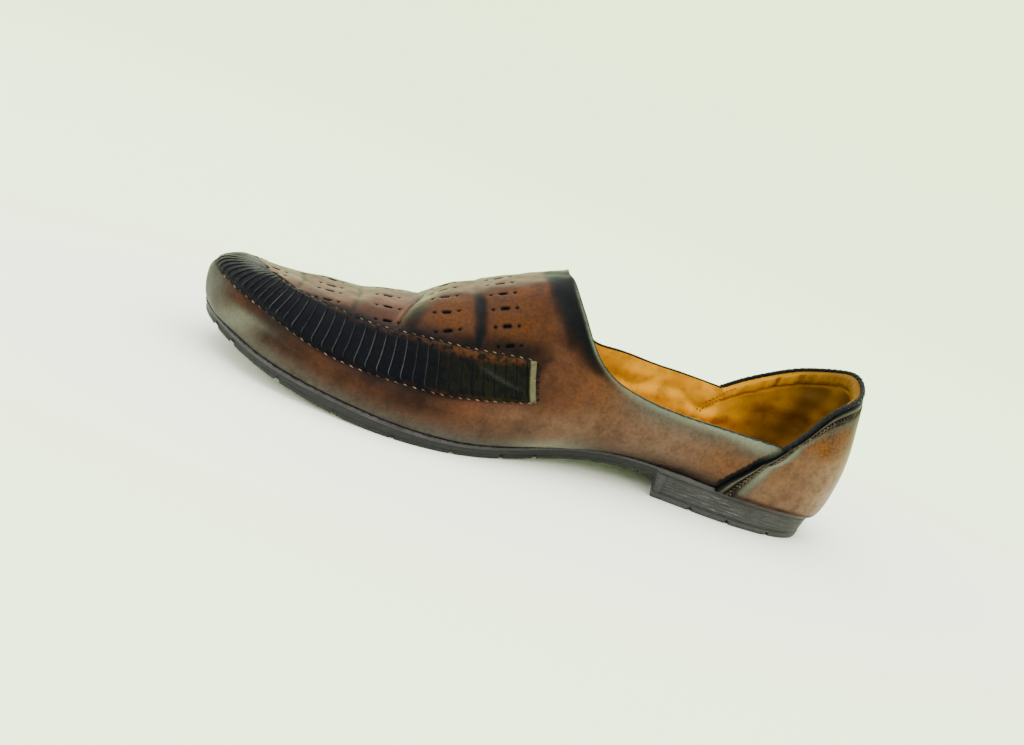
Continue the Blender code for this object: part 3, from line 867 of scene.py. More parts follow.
@dataclass(frozen=True)
class BlackLeather:
    """Black polished calf of the band and the piping, its borders browned and its end strips khaki."""

    name: str
    black: Colour = (0.0011, 0.0014, 0.0027)
    # Pale tint of the painted sheen on the band and the piping, and of faint wear specks.
    worn: Colour = (0.082, 0.080, 0.080)
    olive: Colour = (0.0046, 0.0046, 0.0028)
    khaki: Colour = (0.070, 0.060, 0.037)
    brown: Colour = (0.040, 0.014, 0.0045)
    cloud: Noise = (5.0, 4.0, 0.6)
    rub: Noise = (2.6, 4.0, 0.65)

    def make(self) -> bpy.types.Material:
        """Makes the material.

        Returns:
            Black with olive, browned, painted sheen and strip-coloured places laid by the mesh's fields, with faint
            specks of wear.
        """
        g = Graph(self.name)
        cloud = g.noise(*self.cloud)
        base = g.coats(
            self.black,
            (self.olive, g.field("olive"), g.span(cloud, 0.3, 0.6, 0.3)),
            (self.brown, g.field("brown"), g.span(g.noise(*self.rub), 0.38, 0.62)),
            # Painted sheen, laid by its field.
            (self.worn, g.field("worn"), g.span(cloud, 0.25, 0.65, 0.4)),
            (g.coats(self.olive, (self.khaki, g.span(g.noise(1.4), 0.30, 0.55, 0.60))), g.field("strip")),
            # Faint pale specks of wear.
            (self.worn, g.span(g.noise(1.0), 0.5, 0.75), 0.012),
        )
        return g.finish(base, g.span(cloud, 0.3, 0.7, 0.22, 0.36), 0.018, g.plus(g.cells(0.8), g.noise(1.6)), 0.08)


@dataclass(frozen=True)
class LiningLeather:
    """Soft mustard lining leather."""

    name: str = "mustard_lining_leather"
    mustard: Colour = (0.46, 0.186, 0.0007)
    pale: Colour = (0.68, 0.300, 0.0010)
    # Darker tint for handled patches and for the painted shade.
    worn: Colour = (0.052, 0.022, 0.0018)
    cloud: Noise = (16.0, 4.0, 0.6)
    crease: Noise = (3.0, 4.0, 0.6)

    def make(self) -> bpy.types.Material:
        """Makes the material.

        Returns:
            Soft clouds of mustard, handled darker patches, painted shade laid by the mesh's dark field, and fine
            creases.
        """
        g = Graph(self.name)
        cloud = g.noise(*self.cloud)
        base = g.coats(
            self.mustard,
            (self.pale, g.span(cloud, 0.3, 0.7)),
            (self.worn, g.span(g.noise(5.0, 4.0), 0.45, 0.75), 0.4),
            # Painted shade, laid by the dark field.
            (self.worn, g.field("dark")),
        )
        grain = g.plus(g.cells(0.9), g.noise(*self.crease))
        return g.finish(base, g.span(cloud, 0.3, 0.7, 0.5, 0.66), 0.04, grain, 0.10)


@dataclass(frozen=True)
class SoleRubber:
    """Charcoal moulded rubber."""

    name: str = "charcoal_sole_rubber"
    charcoal: Colour = (0.0140, 0.0122, 0.0150)
    dusty: Colour = (0.0330, 0.0295, 0.0350)
    dark: Colour = (0.0025, 0.0025, 0.0030)
    scuffed: Colour = (0.130, 0.120, 0.135)
    cloud: Noise = (8.0, 5.0, 0.65)
    streak: Noise = (0.42, 2.0, 0.6)

    def make(self) -> bpy.types.Material:
        """Makes the material.

        Returns:
            Charcoal with dust, level pale scuffs, painted shade in its recesses and under the upper, and a darker fore
            side.
        """
        g = Graph(self.name)
        cloud = g.noise(*self.cloud)
        streak = g.noise(*self.streak, g.stretch(0.05, 0.05, 1.0))
        base = g.coats(
            self.charcoal,
            (self.dusty, g.span(cloud, 0.3, 0.72)),
            (self.dusty, g.span(g.noise(0.8, 2.0), 0.5, 0.7), 0.4),
            (self.scuffed, g.span(streak, 0.56, 0.70), g.field("scuff")),
            (self.dark, g.field("dark")),
        )
        grain = g.plus(g.noise(0.6, 2.0), g.times(g.cells(1.1), 0.4))
        return g.finish(base, g.span(cloud, 0.3, 0.7, 0.5, 0.7), 0.25, grain, 0.10, 0.6)


@dataclass(frozen=True)
class Thread:
    """Waxed stitching thread."""

    name: str
    light: Colour = (0.118, 0.082, 0.064)
    dark: Colour = (0.026, 0.015, 0.011)

    def make(self) -> bpy.types.Material:
        """Makes the material.

        Returns:
            Twisted strands that darken in patches.
        """
        g = Graph(self.name)
        base = g.coats(self.light, (self.dark, g.span(g.noise(3.2), 0.38, 0.62)))
        return g.finish(base, g.span(g.noise(1.0), 0.3, 0.7, 0.5, 0.7), 0.05, g.noise(0.35, 2.0), 0.08, 0.7)


@dataclass
class Stitching:
    """A row of single stitches along a line on a surface, of round cross section."""

    pitch: float
    length: float
    width: float
    height: float
    slant: float = 0.0
    plump: float = 0.7  # below 1 the grain keeps its width nearer to its ends

    def patches(self, path: Array, out: Array) -> list[Patch]:
        """Lays the stitches.

        Args:
            path: (n, 3) points of the line.
            out: (n, 3) outward directions of the surface along it.

        Returns:
            One closed grain per stitch: x = length / 2 cos t, and round the axis width and height times
            sin(t)^plump, turned by slant in the surface.
        """
        run = arc_along(path, 0)
        places = np.arange(0.5 * self.pitch, run[-1], self.pitch)
        centre, forward, normal = (between(run, rows, places) for rows in (path, along(path), out))
        forward, normal = unit(forward), unit(normal)
        across = unit(np.cross(normal, forward))
        c, s = math.cos(self.slant), math.sin(self.slant)
        t, turn = np.linspace(0.0, math.pi, 7)[:, None], np.linspace(0.0, TURN, 9)[None, :]
        girth = np.sin(t) ** self.plump
        shape = (
            (0.5 * self.length * np.cos(t) * np.ones_like(turn), c * forward + s * across),
            (0.5 * self.width * girth * np.cos(turn), c * across - s * forward),
            (self.height * girth * np.sin(turn), normal),
        )
        points = centre[:, None, None] + sum(size[..., None] * way[:, None, None] for size, way in shape)
        return [Patch(grain, {}, flip=True) for grain in points]


def build_stitches(name: str, row: Stitching, lines: Sequence[tuple[Array, Array]]) -> bpy.types.Object:
    """Builds a piece of stitches along lines of points and outward directions."""
    return build_mesh(name, [patch for path, out in lines for patch in row.patches(path, out)], STITCH_WELD)


@dataclass
class Perforations:
    """Rows of a slot between two round holes that follow the pleats of the vamp."""

    # s of the middle, how far it bends back per square millimetre, then the rows' distances from the crown line.
    groups: Rows = (
        (275.7, 0.0, 3.0),
        (251.5, 0.0, 4.0, 15.0),
        (227.0, 0.0019, 0.0, 12.0, 23.0),
        (204.8, 0.0033, 0.0, 10.7, 22.4, 32.8),
        (183.5, 0.0046, 4.8, 15.5, 24.9, 33.7, 42.5),
    )
    toe_group: float = 270.0  # groups ahead of this have no front hole
    pitch: float = 4.6
    slot_half: float = 1.0
    slot_radius: float = 0.88
    round_radius: float = 0.70

    def holes(self, last: Last) -> list[tuple[Array, Array, float]]:
        """Every hole on the last.

        Args:
            last: the form they lie on.

        Returns:
            Start point, end point and radius of each hole, where a slot's two points lie slot_half either side
            of its middle along the foot and a round hole's points are one.
        """
        found = []
        for s0, bend, *arcs in self.groups:
            steps = (-1, 0) if s0 > self.toe_group else (-1, 0, 1)
            for arc, side, step in product(arcs, Side, steps):
                s = s0 - bend * arc * arc + step * self.pitch
                half, radius = (0.0, self.round_radius) if step else (self.slot_half, self.slot_radius)
                found.append((last.spot(side, s + half, arc), last.spot(side, s - half, arc), radius))
        return found

    def distance(self, last: Last, points: Array) -> Array:
        """Distance to the holes.

        Args:
            last: the form they lie on.
            points: (..., 3) points.

        Returns:
            At each point, the distance to the edge of the nearest hole, negative inside it, at most NO_HOLE.
        """
        flat = points.reshape(-1, 3)
        best = np.full(len(flat), NO_HOLE)
        for start, end, radius in self.holes(last):
            way = end - start
            share = share_of((flat - start) @ way / max(float(way @ way), 1e-9))
            gap = np.linalg.norm(flat - start - share[:, None] * way, axis=1) - radius
            np.minimum(best, gap, out=best)
        return best.reshape(points.shape[:-1])


@dataclass
class Measures:
    """What the vamp's relief and tints follow, at each point of its grid.

    s, arc and foot are the distances from the heel mark, the crown line and the feather line; rim and hole those
    from the collar's edge and the perforations' edges; ahead how far a point lies toe-ward of the crease, and
    beside the crease's strength there; above and below how far it lies outside the band's borders; under and
    plug the shares under the band and inside it; groove the depth of the pleats' grooves.
    """

    flat: Array
    s: Array
    arc: Array
    foot: Array
    rim: Array
    hole: Array
    ahead: Array
    beside: Array
    above: Array
    below: Array
    under: Array
    plug: Array
    groove: Array


@dataclass
class Vamp:
    """Vamp and quarters of brown calf: pillows between soft grooves, a deep crease and rolled edges."""

    last: Last
    toe_columns: int = 310
    bridge_columns: int = 44
    throat_columns: int = 80
    quarter_columns: int = 34
    heel_columns: int = 30
    row_shares: Rows = ((0.0, 0.0), (0.20, 0.36), (0.27, 0.56), (1.0, 1.0))  # share of the rows, share of the height
    rows: int = 94
    edge_width: float = 1.0
    edge_corner: float = 0.4
    edge_depth: float = 0.9
    # Grooves that part the pleats: s and side place at each end, depth, width.
    grooves: Rows = (
        (263.0, 0.0, 264.4, 11.0, 1.0, 1.6),
        (238.5, 0.0, 240.2, 20.5, 0.9, 1.6),
        (194.3, 0.0, 187.6, 35.2, 1.0, 2.1),
    )
    groove_depth: float = 0.45
    ripples: Rows = ((0.35, 34.0, 3), (0.14, 12.0, 5))  # height, wavelength and seed of the soft waves
    crease_depth: float = 2.9
    crease_fall: tuple[float, float] = (3.2, 5.5)  # how gently it rises out behind and ahead
    crease_swell: float = 0.8
    crease_lip: float = 0.30
    plug_lift: tuple[float, float] = (0.50, 0.55)  # inside the band, and how much more near the toe
    hole_dish: float = 0.10
    hole_depth: float = 0.7
    rim_bead: float = 0.18
    seat_drop: float = 1.2
    seat_pull: float = 0.012  # share by which the lowest row is drawn towards the shoe's middle
    middle_s: float = 150.0
    # The crease's line on each side: s, distance from the crown line.
    crease_inner: Rows = ((214.7, 0.0), (218.8, 10.0), (221.2, 20.0), (222.6, 30.3))
    crease_outer: Rows = ((214.7, 0.0), (212.8, 9.0), (213.5, 20.0), (216.0, 30.3))

    def columns(self) -> Array:
        """Lays out the grid's columns.

        Returns:
            Their signed places along the feather line, the same on both sides.
        """
        last = self.last
        low, high = last.throat_blend
        mid, joint = last.throat_feather, 0.5 * (last.joint(Side.INNER) + last.joint(Side.OUTER))
        tau = np.concatenate([
            np.linspace(0.0, last.tau_of(high), self.toe_columns),
            last.tau_of(np.linspace(high, mid, self.bridge_columns + 1)[1:]),
            last.tau_of(np.linspace(mid, low, self.throat_columns + 1)[1:]),
            np.linspace(last.tau_of(low), last.tau_of(joint), self.quarter_columns + 1)[1:],
            np.linspace(last.tau_of(joint), 1.0, self.heel_columns + 1)[1:],
        ])
        return np.concatenate([-tau[::-1], tau])

    def measure(self, q: Array, v: Array, on_crown: Array) -> Measures:
        """Measures the grid.

        Args:
            q: signed places of its points.
            v: places of its points up the wall.
            on_crown: columns that end on the crown line.

        Returns:
            What the relief and the tints follow.
        """
        last = self.last
        flat = last.point(q, v)
        s, level = flat[..., 0], flat[..., 1] - last.crown_y(flat[..., 0])
        arc = np.abs(level)
        half = len(q) // 2
        collars = (flat[:half][~on_crown[:half], -1], flat[half:][~on_crown[half:], -1])
        groove = np.zeros_like(s)
        for s0, y0, s1, y1, depth, width in self.grooves:
            line = through(((s0, y0), (s1, y1)), 24)
            lines = [resample(np.array([last.spot(side, a, b, by_arc=False) for a, b in line]), 0.8) for side in Side]
            groove = np.maximum(groove, depth * bump(nearest(flat, *lines), width))
        inner, outer = (np.interp(arc, column(c, 1), column(c, 0)) for c in (self.crease_inner, self.crease_outer))
        low, high, banded = last.band(q, 0.0), last.band(q, 1.0), smooth(s, 155.0, 164.0)
        return Measures(
            flat=flat,
            s=s,
            arc=arc,
            foot=v * WALL_HEIGHT,
            rim=nearest(flat, *(resample(collar, 0.7) for collar in collars)),
            hole=Perforations().distance(last, flat),
            ahead=s - np.where(level < 0.0, inner, outer),
            beside=fall(arc, 24.0, 36.0),
            above=(v - high) * WALL_HEIGHT,
            below=(low - v) * WALL_HEIGHT,
            under=banded * smooth(v, low - 0.02, low + 0.02) * fall(v, high - 0.02, high + 0.02),
            plug=banded * smooth(v, high - 0.01, high + 0.03),
            groove=groove,
        )

    def relief(self, m: Measures) -> Array:
        """Relief of the wall.

        Args:
            m: the grid's measures.

        Returns:
            How far each point is lifted: two soft waves and the plug's swell, less the grooves, the holes and
            the crease, which falls off as exp(-distance), steeper behind than ahead, between two low swells.
        """
        slope = np.exp(np.where(m.ahead < 0.0, m.ahead / self.crease_fall[0], -m.ahead / self.crease_fall[1]))
        crease = self.crease_depth * slope - self.crease_lip * bump(m.ahead - 1.6, 0.9)
        crease = m.beside * (crease - self.crease_swell * (bump(m.ahead + 12.0, 5.0) + bump(m.ahead - 17.0, 6.0)))
        lift = sum(height * waves(m.flat, size, seed) for height, size, seed in self.ripples)
        lift = lift * (1.0 - 0.6 * m.under) - self.groove_depth * m.groove * (0.35 + 0.65 * m.plug) - crease
        lift = lift + m.plug * (self.plug_lift[0] + self.plug_lift[1] * smooth(m.s, 260.0, 274.0))
        lift = lift - self.hole_dish * bump(m.hole, 1.4) - self.hole_depth * smooth(-m.hole, -0.1, 0.35)
        lift = np.where(m.under > 0.5, np.minimum(lift, 0.0), lift)
        lift = lift + self.rim_bead * bump(m.rim - 0.5, 0.6) * smooth(m.s, 40.0, 58.0)
        return lift * smooth(m.foot, 0.0, 0.05 * WALL_HEIGHT)

    def build(self) -> bpy.types.Object:
        """Builds the piece.

        Returns:
            The object: an outer wall with relief, closed by a rolled edge round the collar.
        """
        last = self.last
        q = self.columns()
        rows = np.interp(np.linspace(0.0, 1.0, self.rows), column(self.row_shares, 0), column(self.row_shares, 1))
        grid_q, grid_v = last.wall(q, rows)
        on_crown = last.s_of(np.abs(q)) > last.throat_feather
        m = self.measure(grid_q, grid_v, on_crown)
        points = last.skin(grid_q, grid_v, self.relief(m))
        points[on_crown, -1] = (0.5 * (points[:, -1] + points[::-1, -1]))[on_crown]
        points[0] = points[-1] = 0.5 * (points[0] + points[-1])
        seat = points[:, :1] - np.array([0.0, 0.0, self.seat_drop])
        seat[:, 0, :2] += self.seat_pull * (np.array([self.middle_s, 0.0]) - seat[:, 0, :2])
        points = np.concatenate([seat, points], 1)
        tints = {key: np.concatenate([field[:, :1], field], 1) for key, field in self.tints(m).items()}
        patches = [Patch(points, tints), self.edge(points, q, on_crown, last.normal(grid_q[:, -1], grid_v[:, -1]))]
        return build_mesh("vamp_and_quarters", patches, WELD)

    def tints(self, m: Measures) -> dict[str, Array]:
        """Shares of the tints over the wall, painted light and shade among them.

        Args:
            m: the grid's measures.

        Returns:
            The fields dark, warm, tan, rim and hole, and those of painted reflection and painted sheen.
        """
        s, arc, foot, plug = m.s, m.arc, m.foot, m.plug
        sides, fore = 1.0 - plug, smooth(s, 213.0, 222.0)
        # Painted reflection along the wall just above the sole.
        low_reflection = bump(foot - 2.0, 5.5 + 3.0 * smooth(s, 235.0, 275.0)) * smooth(s, 142.0, 176.0)
        border = self.border(m)
        # The plug's orange: behind the crease, under the throat, and low down ahead of the crease.
        hot = most(
            0.95 * bump(s - 201.0, 10.0) * smooth(arc, 8.0, 22.0),
            0.66 * bump(s - 174.0, 16.0) * smooth(arc, 8.0, 18.0) * fall(arc, 32.0, 42.0),
            0.40 * smooth(s, 215.0, 225.0) * bump(arc - 24.0, 6.0),
        )
        # Orange of the whole wall: over the ball, beside the toe, at the waist and the quarter.
        warm = most(
            sides * spots(s, foot, (0.22, 180, 16, 16, 9)),
            0.34 * sides * bump(s - 248.0, 12.0) * fall(m.below, 6.0, 13.0),
            spots(s, foot, (0.40, 128, 20, 26, 12), (0.50, 66, 14, 8, 6)),
            0.95 * plug * hot,
        )
        # Pale tan: painted sheen along the crown ahead of the crease and behind it, tone low on the quarter, painted
        # highlight on the crease's lip.
        tan = most(
            plug * fore * ramp(arc, (2, 0.66), (7, 0.52), (11, 0.26), (16, 0.08), (20, 0)),
            0.50 * plug * fall(arc, 4.0, 13.0),
            spots(s, foot, (0.70, 92, 42, 12, 20)),
            sides * spots(s, foot, (0.60, 138, 22, 10, 10), (0.36, 168, 16, 16, 9)),
            0.8 * plug * m.beside * bump(m.ahead - 1.0, 0.7),
        )
        # Painted grey-green reflection: the toe's tip, a line above the sole, the collar, and the waist.
        haze = most(
            0.95 * smooth(s, 284.0, 297.0) * sides,
            0.95 * low_reflection,
            0.95 * bump(m.rim, 8.0) * smooth(s, 40.0, 52.0) * fall(s, 104.0, 138.0),
            0.55 * bump(foot - 2.0, 5.0) * fall(s, 130.0, 150.0),
        )
        # Painted pale sheen: a spot beside the toe, the collar's edge, and a line above the waist's sole.
        collar_sheen = ramp(s, (60, 0.72), (84, 0.70), (92, 0.60), (108, 0.50), (124, 0.38), (134, 0.36), (140, 0.62),
                      (146, 0.48), (152, 0.40))
        collar_sheen = collar_sheen * bump(m.rim - 0.4, ramp(s, (56, 4.2), (72, 2.2), (120, 1.9), (134, 0.8)))
        glow = most(
            0.44 * bump(s - 283.0 + 0.9 * (foot - 10.0), 7.0) * bump(foot - 10.0, 9.0) * sides,
            collar_sheen * smooth(s, 40.0, 56.0) * fall(s, 153.0, 156.0),
            spots(s, foot, (0.80, 145, 14, 2.8, 3.2)),
        )
        dark = share_of(self.dark(m, border)) * (1.0 - 0.45 * low_reflection * smooth(foot, 1.0, 3.0))
        tints = {"glow": share_of(glow), "rim": m.rim, "hole": m.hole, "tan": tan, "haze": share_of(haze)}
        return tints | {"dark": dark, "warm": share_of(warm * (1.0 - 0.6 * border))}

    def border(self, m: Measures) -> Array:
        """Dark lines along the band.

        Args:
            m: the grid's measures.

        Returns:
            Their strength at each point, one under the band.
        """
        apex = smooth(m.s, 262.0, 274.0)
        above = 0.60 * bump(m.above, 3.6) * (1.0 - apex) + 0.95 * bump(m.above - 0.3, 1.2) * apex
        lines = np.maximum(np.where(m.above > 0, above, 0.0), np.where(m.below > 0, 0.26 * bump(m.below, 1.8), 0.0))
        return np.maximum(smooth(m.s, 150.0, 160.0) * lines, m.under)

    def dark(self, m: Measures, border: Array) -> Array:
        """Darkening of the wall, partly burnish and partly painted shade.

        Args:
            m: the grid's measures.
            border: the dark lines along the band.

        Returns:
            Its strength: burnish at the throat's edge, the band's border and the grooves, the line above the sole,
                painted
            shade on the fore side, the sunk part of the plug, painted shade in and behind the crease, the clouds and a
            painted shadow beside the counter.
        """
        s, arc, foot, plug = m.s, m.arc, m.foot, m.plug
        fore = smooth(s, 213.0, 222.0)
        low = ramp(s, (132, 0.8), (140, 2.6), (146, 2.8), (151, 6.5))
        high = ramp(s, (132, 6.5), (140, 9), (146, 11.5), (151, 14.5))
        throat = fall(m.rim, low, high) * ramp(s, (118, 0), (132, 0.55), (140, 0.90), (146, 1))
        # Painted shade on the fore side, under the band.
        shade = ramp(s, (150, 0), (184, 0.05), (194, 0.34), (204, 0.55), (228, 0.54), (238, 0.44), (250, 0.37),
                     (260, 0.45), (270, 0.54), (280, 0.40), (292, 0.14))
        shade = shade * (1.0 - plug) * smooth(foot, 5.0, 12.0)
        shade = shade * (1.0 - 0.5 * smooth(m.below, 2.0, 14.0) * bump(s - 228.0, 18.0))
        sunk = fore * ramp(arc, (9, 0), (14, 0.12), (19, 0.28), (26, 0.38))
        sunk = sunk + 0.28 * (1.0 - fore) * smooth(arc, 11.0, 20.0)
        valley = share_of(m.groove) * np.where(s > 230.0, 0.42, 0.74 * smooth(arc, 4.0, 15.0))
        sole_line = 0.75 * bump(foot, 1.6) * (1.0 - 0.8 * bump(s - 143.0, 15.0))
        waist = ramp(s, (60, 0.78), (90, 0.64), (110, 0.42), (130, 0.24), (150, 0)) * bump(foot - 1.0, 4.8)
        dark = throat + np.maximum(0.85 * border, valley) + np.maximum(sole_line, waist) + shade + plug * sunk
        # Painted shade behind the crease and along its valley.
        behind = 0.70 * bump(m.ahead + 6.0, 5.0) * smooth(arc, 8.0, 18.0) * fall(arc, 26.0, 38.0)
        cloudy = 0.20 * plug * share_of(waves(m.flat, 19.0, 51)) * fall(s, 214.0, 222.0)
        creased = plug * np.maximum(behind, 0.45 * bump(m.ahead, 0.8)) + cloudy
        # Painted shadow along the counter's front edges.
        return most(dark, creased, 0.97 * fall(self.counter_gap(m.flat), 1.7, 2.9))

    def counter_gap(self, flat: Array) -> Array:
        """Distance to the counter.

        Args:
            flat: points of the wall.

        Returns:
            Distance from each to the counter's two front edges.
        """
        last = self.last
        rise = np.linspace(0.0, 1.0, 120)
        places = [side * last.tau_of(last.joint(side) + last.front_edge(rise)) for side in Side]
        return nearest(flat, *(resample(last.skin(q, last.rim_v(q[-1:]) * rise, 0.0), 0.6) for q in places))

    def edge(self, points: Array, q: Array, on_crown: Array, normal: Array) -> Patch:
        """Rolled edge of the collar.

        Args:
            points: the wall's points, (columns, rows).
            q: places of its columns.
            on_crown: columns that end on the crown line.
            normal: outward directions at the columns' tops.

        Returns:
            A strip from the wall's top row over a corner, a flat top and a second corner, down the inside.
        """
        inner, outer = np.flatnonzero(~on_crown & (q < 0)), np.flatnonzero(~on_crown & (q > 0))
        order = np.concatenate([inner, np.flatnonzero(on_crown & (q < 0))[:1], outer])
        rim = points[order, -1]
        forward = along(rim)
        rise = unit(np.cross(normal[order], forward))
        out = np.cross(forward, rise)
        c, w = self.edge_corner, self.edge_width
        turn = np.linspace(0.0, math.pi / 2, 5)
        top = [c + 0.35 * w, c + 0.7 * w]
        across = np.concatenate([c - c * np.cos(turn), top, c + w + c * np.sin(turn), [2 * c + w]])
        up = np.concatenate([c * np.sin(turn), [c, c], c * np.cos(turn), [-self.edge_depth]])
        strip = rim[:, None] - across[None, :, None] * out[:, None] + up[None, :, None] * rise[:, None]
        dark = 0.8 + 0.2 * bump(across - c - 0.5 * w, 0.62 * w)
        # The edge is dark under a painted reflection and pale tan, its sheen.
        return Patch(strip, {"dark": dark, "haze": 0.6, "tan": 0.5, "hole": NO_HOLE, "rim": NO_RIM})

    def dress(self, piece: bpy.types.Object) -> None:
        """Gives the piece its leather and ties it to the frame.

        Args:
            piece: what build has made.
        """
        piece.data.materials.append(BurnishedLeather().make())
        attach(piece, "root")
        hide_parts("upper")


@dataclass
class Lining:
    """Mustard lining inside the vamp, quarters and counter, with soft folds and a gathered collar strip."""

    last: Last
    wall: float = 1.9
    fold: float = 1.1
    columns: int = 460
    strip: float = 5.4  # width of the gathered strip, down to its seam
    strip_swell: float = 1.1
    pucker: float = 0.60
    behind_crease: float = 1.9  # how much deeper it lies under the crease
    seam_lift: float = 0.9
    # The slanting seam on the outer side: s, v.
    seam_line: Rows = ((70, 0.03), (66, 0.09), (61.9, 0.153), (56.6, 0.203), (52.1, 0.253), (48.5, 0.285))

    def build(self) -> bpy.types.Object:
        """Builds the piece.

        Returns:
            The object: the upper's wall moved inward, with folds, a puckered strip and a hollow in the toe,
            rising to the rolled edges and under the piping.
        """
        last = self.last
        half = np.linspace(0.0, 1.0, self.columns)
        q = np.concatenate([-half[::-1], half[1:]])
        grid_q, grid_v = last.wall(q, np.concatenate([np.linspace(0.0, 0.9, 60), np.linspace(0.9, 1.0, 26)[1:]]))
        flat = last.point(grid_q, grid_v)
        s, from_top = flat[..., 0], arc_back(flat, 1)
        feather = last.s_of(np.abs(q))[:, None]
        joint = np.where(q < 0, last.joint(Side.INNER), last.joint(Side.OUTER))[:, None]
        behind = fall(feather, joint - 1.5, joint + 0.5)
        calm = smooth(from_top, 2.0, 12.0) * smooth(grid_v, 0.0, 0.08)
        folds = 0.8 * waves(flat * np.array([0.30, 0.5, 1.0]), 9.0, 11) + 0.35 * waves(flat, 9.0, 12)
        pucker = waves(flat * np.array([1.0, 1.0, 0.15]), 4.2, 13)
        strip = behind * smooth(from_top, 0.0, 1.2) * fall(from_top, 4.2, 5.2)
        depth = self.wall + np.maximum(0.25 + self.fold * calm * (0.55 + folds), 0.05)
        depth = depth + self.behind_crease * bump(s - 217.0, 13.0)
        depth = depth + self.strip_swell * strip * np.sin(math.pi * share_of(from_top / 5.0))
        depth = depth + self.pucker * strip * np.maximum(pucker, -0.6) * smooth(from_top, 0.6, 2.0)
        depth = depth - behind * (0.5 * bump(from_top - self.strip, 0.5) + 3.0 * fall(from_top, 0.0, 1.3))
        points = last.skin(grid_q, grid_v, -depth)
        rising = fall(feather, joint - 0.3, joint + 1.6)
        points[..., 2] += rising * 1.9 * fall(from_top, 0.9, 3.2) + fall(grid_v, 0.0, 0.05) * 1.5
        # Painted shade: the bottom and the toe, the strip's seam, the heel's depth, the valleys of the folds and
        # puckers, the slanting seam.
        deep_heel = ramp(s, (10, 0.98), (20, 0.95), (30, 0.90), (40, 0.74), (52, 0.42), (62, 0.05))
        dark = most(
            share_of(0.9 * fall(grid_v, 0.0, 0.10) + 0.5 * smooth(s, 140.0, 185.0)),
            0.55 * behind * bump(from_top - self.strip, 0.9),
            behind * smooth(from_top, 3.5, 7.0) * (deep_heel + 0.10 * waves(flat, 16.0, 62)),
            behind * ramp(s, (8, 0.92), (20, 0.88), (28, 0.68), (50, 0.44)),
            0.46 * smooth(-folds, 0.10, 0.9) * calm,
            0.60 * bump(nearest(flat, resample(self.seam()[0], 0.6)), 2.2),
            0.45 * behind * smooth(from_top, 4.6, 5.6) * fall(from_top, 7.0, 11.0),
            0.92 * strip * smooth(-pucker, 0.0, 0.9),
        )
        return build_mesh("lining", [Patch(points, {"dark": share_of(dark)}, flip=True)], WELD)

    def seam(self) -> tuple[Array, Array]:
        """Line of the slanting seam.

        Returns:
            Its points and the inward directions along it.
        """
        s, v = through(self.seam_line, 80).T
        q = self.last.tau_of(s)
        return self.last.skin(q, v, -self.wall - self.seam_lift), -self.last.normal(q, v)

    def build_seam(self) -> bpy.types.Object:
        """Builds the two stitched rows where the lining is joined.

        Returns:
            The object.
        """
        path, out = self.seam()
        beside = 0.9 * unit(np.cross(out, np.gradient(path, axis=0)))
        lines = [(path + beside, out), (path - beside, out)]
        return build_stitches("lining_seam_stitches", Stitching(pitch=1.9, length=1.2, width=0.6, height=0.3), lines)

    def dress(self, piece: bpy.types.Object) -> None:
        """Gives the piece its leather and ties it to the frame.

        Args:
            piece: what build has made.
        """
        piece.data.materials.append(LiningLeather().make())
        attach(piece, "root")


@dataclass
class Sock:
    """Leather sock on the insole board."""

    last: Last
    inset: float = 2.5
    thick: float = 2.4

    def build(self) -> bpy.types.Object:
        """Builds the piece.

        Returns:
            The object: a slightly crowned sheet whose rim turns down to the sole.
        """
        last = self.last
        tau, across = np.linspace(0.0, 1.0, 260), np.linspace(-1.0, 1.0, 64)
        inner, outer = (last.edge_plan(side, tau, np.full_like(tau, -self.inset))[:, None] for side in Side)
        share = (across[None, :, None] + 1.0) / 2.0
        plan = inner * (1.0 - share) + outer * share
        points = np.concatenate([plan, last.low(plan[..., :1]) + self.thick], -1)
        points[..., 2] += 0.12 * waves(points, 18.0, 21) - 1.2 * smooth(np.abs(across), 0.93, 1.0)
        # Painted shade: darker all over inside the shoe, more so towards its rim by the wall.
        return build_mesh("sock", [Patch(points, {"dark": 0.25 + 0.5 * smooth(np.abs(across), 0.8, 1.0)})], WELD)

    def dress(self, piece: bpy.types.Object) -> None:
        """Gives the piece its leather and ties it to the frame.

        Args:
            piece: what build has made.
        """
        piece.data.materials.append(LiningLeather("mustard_sock_leather").make())
        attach(piece, "root")
        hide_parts("insole")


